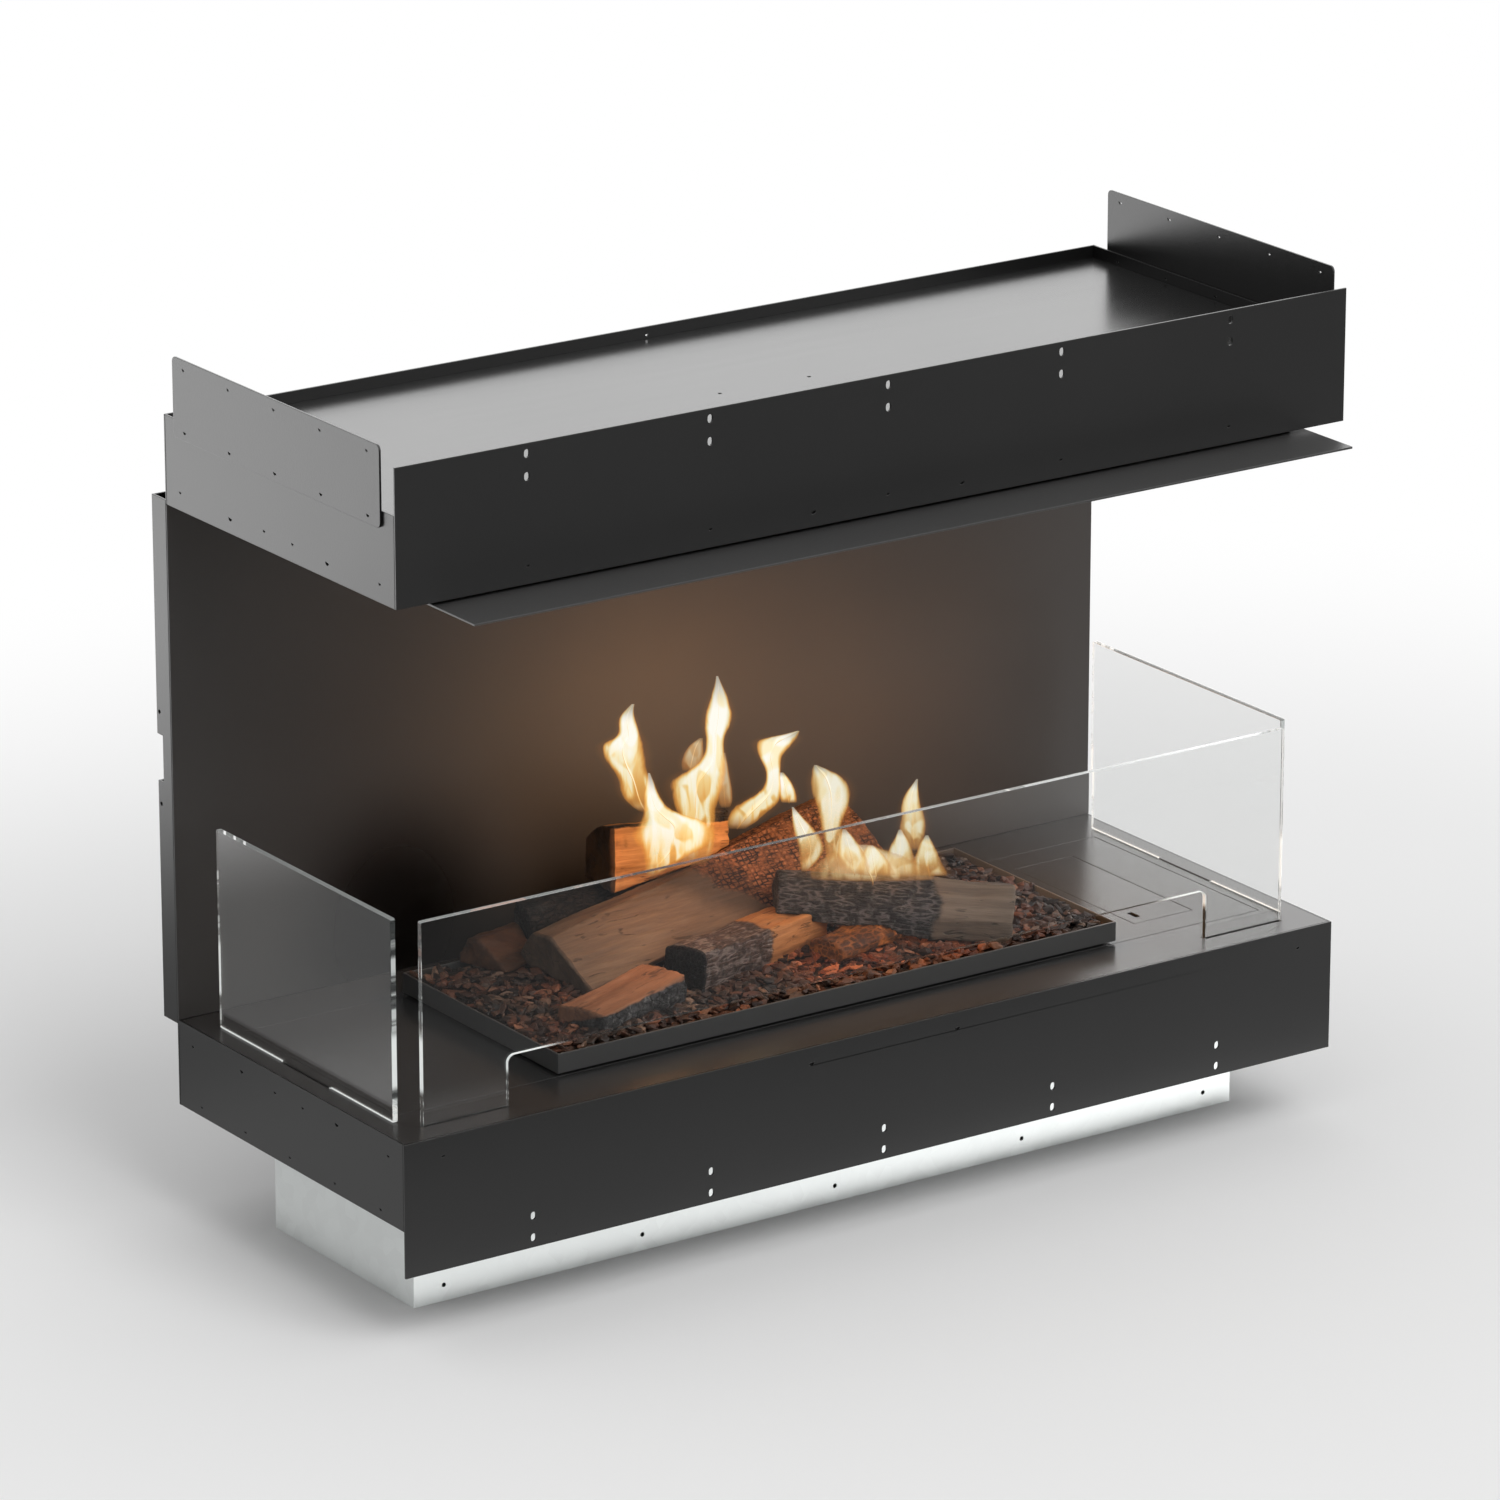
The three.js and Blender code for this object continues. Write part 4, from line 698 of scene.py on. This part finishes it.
def carve(node, name, voxel, lumps):
    """Makes a log's skin fine, then pushes it in and out by clouds, which have a size along, across
    and over the log, and a depth."""
    centre, turn = lie_of(node)
    piece = copy_of(node, name)
    skin = piece.modifiers.new("skin", "REMESH")
    skin.mode = "VOXEL"
    skin.voxel_size = voxel
    use(piece, skin)
    bpy.ops.object.empty_add(location=centre, rotation=turn)
    guide = bpy.context.object
    for number, (cloud_size, depth) in enumerate(lumps):
        guide.scale = cloud_size
        bpy.context.view_layer.update()
        texture = bpy.data.textures.new(f"{name}_{number}", "CLOUDS")
        texture.noise_scale = 1.0
        texture.noise_depth = 2
        push = piece.modifiers.new("push", "DISPLACE")
        push.texture = texture
        push.texture_coords = "OBJECT"
        push.texture_coords_object = guide
        push.strength = depth
        push.mid_level = 0.5
        use(piece, push)
    bpy.data.objects.remove(guide)
    choose(piece)
    bpy.ops.object.shade_smooth()
    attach(piece, "casing")
    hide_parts(node)
    return piece


def log_finish(name, node, wood, char, burnt, cells=(0.011, 0.0052, 0.0052), uneven=0.75,
               seam=(0.003, 0.0025, 0.002), dark=None, dim=0.88, glow=None, ash=0.2):
    """Wood grain where the log is sound, and charred blocks with cracks where burnt() says so.
    wood and char are (dark, middle, light) colours, cells is the size of the blocks, seam fills their
    cracks and ash greys them. dark() says where the log is dim, and glow() where its cracks get a
    painted glow."""
    centre, turn = lie_of(node)
    start = begin(name)
    place = start.place(tuple(centre), tuple(turn))
    ragged = place.noise(38, 3, 0.6)
    streaks = place.stretch((9, 170, 170)).noise(1.0, 4, 0.62, 0.4)
    broad = place.stretch((7, 34, 34)).noise(1.0, 2, 0.5)
    fibre = place.stretch((40, 900, 900)).noise(1.0, 2, 0.6)
    grain = streaks * 0.62 + broad * 0.38 + fibre * 0.14 - 0.07
    wood_stops = [(0.25, wood[0]), (0.5, wood[1]), (0.72, wood[2])]
    sound = start.node("ValToRGB", {"stops": wood_stops}, {"Fac": grain})
    middle = (0.5, 0.5, 0.5)
    along = place + (place.noise(30, 2, 0.5, output="Color") - middle) * (0.0, 0.006, 0.006)
    rift = along.stretch((8, 70, 70)).noise(1.0, 3, 0.6, 0.3)
    closed = place.noise(45, 2, 0.5).step(0.62, 0.40) * 0.05
    whole = ((rift - 0.5).size() + closed).step(0.002, 0.022)
    sound = sound * (whole * 0.58 + 0.42)

    wander = place + (place.noise(55, 2, 0.5, output="Color") - middle) * (0.004, 0.004, 0.004)
    in_blocks = wander.stretch(tuple(1 / length for length in cells))
    in_crumbs = wander.stretch(tuple(2.3 / length for length in cells))
    blocks = in_blocks.cells(1.0, "DISTANCE_TO_EDGE", randomness=uneven)
    crumbs = in_crumbs.cells(1.0, "DISTANCE_TO_EDGE", randomness=0.9)
    crack = 1 - blocks.step(0.03, 0.20)
    hair = 1 - crumbs.step(0.01, 0.12)
    tops = place.noise(210, 3, 0.65)
    char_level = tops * 0.8 + blocks * 0.4 * (1 - hair * 0.5)
    char_stops = [(0.3, char[0]), (0.55, char[1]), (0.8, char[2])]
    burnt_face = start.node("ValToRGB", {"stops": char_stops}, {"Fac": char_level})
    filled = crack * place.noise(90, 2, 0.6).step(0.35, 0.6)
    burnt_face = filled.between(burnt_face, seam)
    ashy = place.noise(120, 4, 0.7).step(0.55, 0.75) * ash
    burnt_face = ashy.between(burnt_face, (0.30, 0.285, 0.27))

    share = (burnt(place) + (ragged - 0.5) * 0.9).step(0.35, 0.65)
    colour = share.between(sound, burnt_face)
    # dark() darkens the colour where it says; on the main log this is painted shade.
    if dark is not None:
        colour = colour * (1 - (dark(place) + (ragged - 0.5) * 0.5).step(0.25, 0.75) * dim)
    sockets = {
        "Base Color": colour,
        "Roughness": share * 0.12 + streaks * 0.15 + 0.62,
    }
    if glow is not None:
        # A painted glow: emission in the cracks, where glow() says.
        uneven_glow = place.noise(70, 3, 0.6).step(0.3, 0.7)
        painted_glow = glow(place) * (crack * 0.9 + hair * 0.35 + 0.10) * uneven_glow
        sockets["Emission Color"] = painted_glow.between((0, 0, 0), (1.0, 0.27, 0.045))
        sockets["Emission Strength"] = 1.0
    wood_height = streaks * 0.5 + fibre * 0.22 + whole * 0.45
    char_height = blocks.smaller(0.3) * 2.2 + crumbs.smaller(0.2) * 1.2 + tops * 0.3
    height = wood_height * (1 - share) + char_height * share
    return close(start, sockets, height=height, depth=0.0016)


def painted_shade_on_main_log(place):
    """Marks the main log's painted shade: its broken left end, and a band where its blocks begin."""
    along = place.part("X")
    up = place.part("Z")
    end = (along * -0.99 - place.part("Y") * 0.15).step(0.176, 0.179)
    shaded_band = (along + up * 1.6).step(-0.060, 0.010) * (along + up * 0.7).step(0.060, 0.020)
    return end.larger(shaded_band * 0.80)


main_log = carve("log_main", "split_beech_log", voxel=0.0016, lumps=(
    ((0.09, 0.035, 0.035), 0.005),
    ((0.06, 0.007, 0.007), 0.0016)))
wear(main_log, log_finish(
    "split_and_charred_beech", "log_main",
    wood=((0.060, 0.036, 0.0235), (0.132, 0.080, 0.049), (0.195, 0.128, 0.081)),
    # The light char stop is a painted firelight orange.
    char=((0.100, 0.036, 0.014), (0.330, 0.125, 0.050), (0.700, 0.310, 0.135)),
    burnt=lambda place: (place.part("X") + place.part("Z") * 1.2).step(-0.02, 0.05),
    # Painted shade on the left end and on a band where the blocks begin.
    dark=painted_shade_on_main_log,
    dim=0.55,
    cells=(0.0056, 0.0038, 0.0038),
    uneven=0.35,
    seam=(0.014, 0.006, 0.004),
    # A faint painted glow in the cracks at the right.
    glow=lambda place: place.part("X").step(0.05, 0.15) * 0.12,
    ash=0.03))


# Rear stump
# A short thick log that stands behind the main one. Its sawn front face is painted bright orange for
# the firelight on it, its top is black and its left end is dark.
rear_stump = carve("log_rear_stump", "rear_stump_log", voxel=0.0022, lumps=(
    ((0.05, 0.03, 0.03), 0.005),
    ((0.03, 0.006, 0.006), 0.0022)))
wear(rear_stump, log_finish(
    "cracked_stump", "log_rear_stump",
    # The bright orange wood is painted firelight.
    wood=((0.21, 0.076, 0.021), (0.53, 0.215, 0.062), (0.72, 0.345, 0.115)),
    char=((0.006, 0.005, 0.004), (0.020, 0.014, 0.011), (0.055, 0.038, 0.028)),
    burnt=lambda place: place.part("Z").step(0.018, 0.026).larger(0.34),
    cells=(0.012, 0.0060, 0.0045),
    dark=lambda place: (place.part("X") * -0.99 + place.part("Y") * 0.08 - place.part("Z") * 0.10).step(
        0.0585, 0.0600),
    ash=0.1))


# Dark rear log
# A log at the back that is burnt black all over.
dark_rear = carve("log_dark_rear", "dark_rear_log", voxel=0.0024, lumps=(
    ((0.05, 0.025, 0.025), 0.006),
    ((0.03, 0.006, 0.006), 0.0025)))
wear(dark_rear, log_finish(
    "burnt_black_log", "log_dark_rear",
    wood=((0.012, 0.008, 0.006), (0.030, 0.019, 0.014), (0.055, 0.036, 0.027)),
    char=((0.006, 0.005, 0.004), (0.022, 0.015, 0.012), (0.050, 0.034, 0.026)),
    burnt=lambda place: place.part("X").step(-0.2, -0.1),
    ash=0.1))


# Small left log
# A light split piece at the left end, with a dark drying crack down its middle.
small_left = carve("log_small_left", "small_left_log", voxel=0.0020, lumps=(
    ((0.04, 0.02, 0.02), 0.004),
    ((0.03, 0.005, 0.005), 0.0016)))
wear(small_left, log_finish(
    "pale_split_wood", "log_small_left",
    wood=((0.017, 0.006, 0.002), (0.054, 0.020, 0.007), (0.102, 0.042, 0.016)),
    char=((0.008, 0.006, 0.005), (0.020, 0.014, 0.011), (0.05, 0.035, 0.028)),
    burnt=lambda place: place.part("X").step(0.045, 0.075) * 0.8))


# Front left log
# A short split piece in front: orange tan on its upper faces, with a charred, ashy underside.
front_left = carve("log_front_left", "front_left_log", voxel=0.0018, lumps=(
    ((0.035, 0.018, 0.018), 0.004),
    ((0.025, 0.005, 0.005), 0.0018)))
wear(front_left, log_finish(
    "tan_and_ashy_wood", "log_front_left",
    wood=((0.122, 0.049, 0.022), (0.252, 0.104, 0.049), (0.34, 0.153, 0.079)),
    char=((0.014, 0.012, 0.012), (0.060, 0.056, 0.056), (0.170, 0.162, 0.160)),
    burnt=lambda place: (place.part("Z") * -1 - place.part("Y") * 0.35).step(-0.004, 0.008),
    dark=lambda place: place.part("X").step(-0.0525, -0.0545),
    dim=0.5,
    ash=0.8))


# Front middle log
# A log with grey bark in long strips, a black left end, and a right end painted orange for the
# firelight on it.
front_middle = carve("log_front_middle", "front_middle_log", voxel=0.0020, lumps=(
    ((0.05, 0.02, 0.02), 0.005),
    ((0.04, 0.0055, 0.0055), 0.0032)))
wear(front_middle, log_finish(
    "grey_bark_log", "log_front_middle",
    # The orange wood of the right end is painted firelight.
    wood=((0.146, 0.057, 0.018), (0.31, 0.130, 0.043), (0.41, 0.19, 0.070)),
    char=((0.015, 0.008, 0.006), (0.060, 0.032, 0.023), (0.135, 0.089, 0.070)),
    burnt=lambda place: place.part("X").step(0.020, -0.005),
    dark=lambda place: place.part("X").step(-0.0825, -0.0845),
    dim=0.93,
    cells=(0.030, 0.0042, 0.0042),
    seam=(0.18, 0.136, 0.118),
    ash=0.35))


# Right front log
# Blue-grey char with fine cracks on its left two thirds and a rounded black end. The right third is
# pale weathered wood that ends in a break.
right_front = carve("log_right_front", "right_front_log", voxel=0.0021, lumps=(
    ((0.06, 0.025, 0.025), 0.005),
    ((0.03, 0.012, 0.012), 0.0012)))
wear(right_front, log_finish(
    "char_and_weathered_wood", "log_right_front",
    wood=((0.042, 0.030, 0.022), (0.122, 0.085, 0.060), (0.181, 0.133, 0.099)),
    char=((0.008, 0.007, 0.007), (0.022, 0.020, 0.020), (0.060, 0.056, 0.057)),
    seam=(0.090, 0.078, 0.076),
    burnt=lambda place: place.part("X").step(0.060, 0.010),
    cells=(0.017, 0.0036, 0.0036),
    ash=0.25))


# Low bark log
# A curl of thin bark that lies low in the middle, with a painted red glow.
low_bark = carve("log_low_bark", "low_bark_log", voxel=0.0020, lumps=(
    ((0.04, 0.02, 0.02), 0.005),
    ((0.03, 0.005, 0.005), 0.0030)))
wear(low_bark, log_finish(
    "bark_with_painted_glow", "log_low_bark",
    wood=((0.014, 0.0044, 0.002), (0.041, 0.013, 0.005), (0.082, 0.028, 0.011)),
    char=((0.008, 0.003, 0.0013), (0.027, 0.009, 0.004), (0.067, 0.024, 0.010)),
    seam=(0.14, 0.056, 0.022),
    burnt=lambda place: place.part("X").step(-0.5, 0.5),
    # A painted glow: emission, not a lamp.
    glow=lambda place: place.part("X").step(-0.12, 0.0) * 0.3,
    ash=0.0))


# Flames
# Burning ethanol vapour: thin tongues that rise from the slots between the logs, cream in the
# middle, orange at the edge and faint at the root. Each is two crossed curved sheets of light.
flame_turn = math.radians(-34.5)
flame_margin = 1.45
flame_curve = 0.12


def tongue(name, foot, rows, turn, share):
    """Shapes one sheet from rows of (height, left, right) in millimetres over its foot. The rows lie
    in the flame's main plane. A sheet that is turned from it follows their middle, at a share of
    their width."""
    columns = 12
    bpy.ops.object.select_all(action="DESELECT")
    bpy.ops.mesh.primitive_grid_add(x_subdivisions=columns, y_subdivisions=len(rows) - 1, size=1)
    sheet = bpy.context.object
    sheet.name = name
    main_way = Vector((math.cos(flame_turn), math.sin(flame_turn), 0))
    own_way = Vector((math.cos(flame_turn + turn), math.sin(flame_turn + turn), 0))
    behind_way = Vector((-own_way.y, own_way.x, 0))
    for number, vertex in enumerate(sheet.data.vertices):
        rise, left, right = (value / 1000 for value in rows[number // (columns + 1)])
        across = (number % (columns + 1)) / columns * 2 - 1
        reach = (right - left) / 2 * flame_margin * share
        vertex.co = Vector(foot) + main_way * (left + right) / 2 + own_way * across * reach
        vertex.co += behind_way * across * across * flame_curve * reach + Vector((0, 0, rise))
    soft = sheet.modifiers.new("soft", "SUBSURF")
    soft.levels = 2
    soft.render_levels = 2
    use(sheet, soft)
    bpy.ops.object.shade_smooth()
    sheet.visible_shadow = False
    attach(sheet, "casing")
    return sheet


def vapour(name, thickness, hues):
    """The light of one kind of flame. Its hues run from its edge to its middle."""
    start = begin(name)
    own_map = start.node("UVMap", {}, {}, "UV")
    across = (own_map.part("X") * 2 - 1).size() * flame_margin
    up = own_map.part("Y")
    place = start.place()
    lick = place.stretch((110, 110, 34)).noise(1.0, 3, 0.55, 0.5)
    streak = place.stretch((150, 150, 26)).noise(1.0, 2, 0.5, 0.8).step(0.45, 0.68)
    fold = place.stretch((52, 52, 26)).noise(1.0, 1, 0.5, 1.2).step(0.49, 0.64)
    edge = 1 - across + (lick - 0.5) * 0.34
    body = edge.step(-0.02, 0.15)
    heart = edge.step(0.0, 0.50)
    halo = (1 - across * (1 / flame_margin)).step(0.0, 0.6) * 0.10
    root = up.step(0.0, 0.16)
    tip = 1 - up.step(0.80, 1.0) * 0.65
    low = 1 - up.step(0.04, 0.62)
    colour = heart * (1 - streak * (low * 0.30 + 0.14)) * (1 - fold * (low * 0.30 + 0.40))
    colour = colour * (1 - low * 0.35) - low * 0.16
    hue = start.node("ValToRGB", {"stops": hues}, {"Fac": colour})
    hue = body.between((0.80, 0.31, 0.07), hue)
    solid = body * (heart * 0.36 + 0.58) * (1 - low * 0.16) * (1 - fold * low * 0.25)
    return close(start, {
        "Base Color": (0.0, 0.0, 0.0),
        "Roughness": 1.0,
        "Specular IOR Level": 0.0,
        "Emission Color": root.between((0.42, 0.19, 0.06), hue),
        "Emission Strength": 1.06,
        "Alpha": (solid * thickness).larger(halo * thickness) * up.step(-0.02, 0.06) * tip,
    })


full_flame = vapour("burning_vapour", thickness=1.0, hues=[
    (0.0, (0.80, 0.33, 0.06)), (0.18, (0.95, 0.50, 0.13)), (0.36, (1.0, 0.70, 0.28)),
    (0.58, (1.0, 0.89, 0.58)), (1.0, (1.0, 0.98, 0.88))])
veiled_flame = vapour("vapour_behind_glass", thickness=0.86, hues=[
    (0.0, (0.64, 0.29, 0.07)), (0.18, (0.80, 0.46, 0.15)), (0.38, (0.92, 0.66, 0.30)),
    (0.60, (0.97, 0.84, 0.52)), (1.0, (0.99, 0.95, 0.78))])
gold_flame = vapour("golden_vapour", thickness=0.72, hues=[
    (0.0, (0.46, 0.23, 0.07)), (0.15, (0.60, 0.34, 0.12)), (0.35, (0.76, 0.50, 0.21)),
    (0.60, (0.90, 0.68, 0.36)), (1.0, (0.98, 0.84, 0.55))])
thin_flame = vapour("thin_vapour", thickness=0.55, hues=[
    (0.0, (0.74, 0.30, 0.08)), (0.5, (0.92, 0.54, 0.22)), (1.0, (1.0, 0.80, 0.50))])
flames = {
    "stump": ((-0.097, 0.062, 0.338), [
        (0, 4, 17), (6, -6, 19), (14, -12, 19), (22, -14, 17), (30, -15, 14), (38, -19, 11),
        (46, -25, 10), (54, -29, 10), (60, -30, 8), (64, -28, 8), (70, -17, 6), (75, -14, 4),
        (82, -15, 2), (89, -14, 0), (95, -9, -1), (101, -3, 0)]),
    "curl": ((-0.106, 0.030, 0.288), [
        (0, -2, 5), (6, -2, 14), (13, -3, 27), (20, -5, 41), (27, -8, 54), (33, -13, 61),
        (38, -15, 63), (44, -11, 63), (50, -7, 58), (56, -4, 38), (62, -3, 22), (68, -3, 16),
        (75, -3, 12), (82, -2, 9), (90, 0, 6), (97, 1, 3)]),
    "tall": ((-0.064, 0.025, 0.292), [
        (0, -12, 12), (10, -12, 23), (22, -10, 24), (34, -8, 24), (48, -10, 24), (57, -14, 25),
        (69, -17, 31), (79, -17, 33), (86, -6, 33), (93, 6, 33), (101, 13, 32), (111, 15, 31),
        (121, 15, 32), (130, 13, 37), (140, 14, 39), (150, 17, 37), (160, 20, 34), (170, 23, 29),
        (177, 24, 26)]),
    "tall_side": ((-0.011, 0.045, 0.330), [
        (0, -4, 4), (7, -8, 7), (17, -9, 6), (29, -7, 4), (41, -5, 2), (52, -3, 0)]),
    "wisp": ((-0.046, 0.050, 0.370), [
        (0, -8, 8), (8, -9, 12), (16, -6, 13), (24, -1, 12), (31, 8, 12)]),
    "hook": ((0.014, 0.070, 0.298), [
        (0, -5, 12), (7, -6, 22), (15, -3, 32), (23, 4, 40), (30, 17, 44), (38, 27, 44),
        (46, 30, 43), (54, 30, 43), (62, 27, 44), (69, 23, 44), (75, 21, 49), (80, 20, 54),
        (85, 22, 58), (89, 43, 59), (93, 57, 60)]),
    "hook_side": ((0.069, 0.060, 0.315), [
        (0, -7, 7), (7, -10, 7), (14, -11, 5), (22, -11, 1), (29, -10, -5)]),
    "veil": ((0.072, -0.052, 0.272), [
        (0, -50, 66), (6, -54, 68), (12, -52, 60), (18, -44, 46), (24, -34, 34), (30, -24, 20),
        (35, -16, 4)]),
    "left_low": ((0.0, -0.060, 0.298), [
        (0, -3, 3), (9, -4, 11), (19, -5, 19), (28, -7, 17), (37, -9, 13), (46, -10, 4), (54, -10, -3),
        (60, -10, -8)]),
    "round": ((0.048, -0.045, 0.285), [
        (0, -9, 9), (10, -11, 9), (20, -12, 7), (30, -14, 5), (40, -15, 4), (50, -17, 6), (60, -19, 10),
        (68, -22, 12), (76, -23, 12), (83, -24, 9), (90, -23, 2), (95, -23, -9), (99, -21, -18)]),
    "wave_one": ((0.059, -0.055, 0.282), [
        (0, -14, 14), (9, -16, 13), (18, -16, 10), (27, -16, 5), (36, -14, -2), (43, -12, -8)]),
    "wave_two": ((0.078, -0.062, 0.279), [
        (0, -17, 17), (7, -18, 15), (15, -16, 10), (23, -13, 4), (29, -9, -3)]),
    "wave_three": ((0.105, -0.060, 0.272), [
        (0, -17, 17), (9, -17, 16), (18, -14, 13), (28, -10, 10), (37, -5, 6), (45, -2, 1)]),
    "wave_four": ((0.137, -0.062, 0.267), [
        (0, -17, 17), (8, -17, 13), (16, -16, 10), (24, -13, 6), (32, -10, 2), (39, -5, -2)]),
    "right": ((0.128, -0.050, 0.290), [
        (0, -3, 3), (6, -6, 6), (13, -12, 9), (21, -14, 11), (29, -13, 10), (37, -12, 8), (45, -11, 6),
        (53, -8, 5), (60, -3, 4), (67, 2, 4)]),
}
kinds = {"wisp": thin_flame, "tall_side": thin_flame, "veil": gold_flame}
for name in ("left_low", "round", "wave_one", "wave_two", "wave_three", "wave_four", "right"):
    kinds[name] = veiled_flame
broad_flames = ("curl", "veil")
for name, (foot, rows) in flames.items():
    finish = kinds.get(name, full_flame)
    cross_share = 0.25 if name in broad_flames else 0.55
    sheet = tongue("flame_" + name, foot, rows, turn=0, share=1.0)
    wear(sheet, finish)
    sheet = tongue("flame_" + name + "_cross", foot, rows, turn=math.radians(90), share=cross_share)
    wear(sheet, finish)


# Firelight
# The light that the flames throw: a broad warm glow on the wall and the deck, and small flickers
# close to the logs and the chips. Neither colours the floor.
def fire_lamp(name, spot, power, size, spared):
    """Adds one warm lamp that doesn't light the spared collection and isn't seen itself."""
    bpy.ops.object.light_add(type="POINT", location=spot)
    lamp = bpy.context.object
    lamp.name = name
    lamp.data.energy = power
    lamp.data.color = (1.0, 0.50, 0.22)
    lamp.data.shadow_soft_size = size
    lamp.visible_camera = False
    lamp.visible_glossy = False
    lamp.visible_transmission = False
    lamp.light_linking.receiver_collection = spared


def spare(name, pieces):
    """A collection of what a lamp leaves dark."""
    group = bpy.data.collections.new(name)
    for piece in pieces:
        group.objects.link(piece)
    for held in group.collection_objects:
        held.light_linking.link_state = "EXCLUDE"
    return group


logs = (main_log, rear_stump, dark_rear, small_left, front_left, front_middle, right_front, low_bark)
past_fire = spare("past_the_fire", (floor,))
past_glow = spare("past_the_glow", (floor, chips, *logs))
glow_size = 0.06
flicker_size = 0.02
for name, spot, power in (
        ("wall_glow_left", (-0.090, 0.040, 0.390), 0.75),
        ("wall_glow_middle", (0.040, 0.030, 0.400), 2.2),
        ("wall_glow_right", (0.260, 0.000, 0.325), 2.0)):
    fire_lamp(name, spot, power, glow_size, past_glow)
for name, spot, power in (
        ("log_light_stump", (-0.110, -0.010, 0.335), 0.34),
        ("log_light_rear", (-0.010, 0.075, 0.330), 0.16),
        ("log_light_main", (0.060, -0.010, 0.345), 0.14),
        ("log_light_right", (0.105, -0.050, 0.310), 0.12),
        ("log_light_low", (0.020, -0.085, 0.270), 0.08)):
    fire_lamp(name, spot, power, flicker_size, past_fire)


bpy.context.view_layer.update()
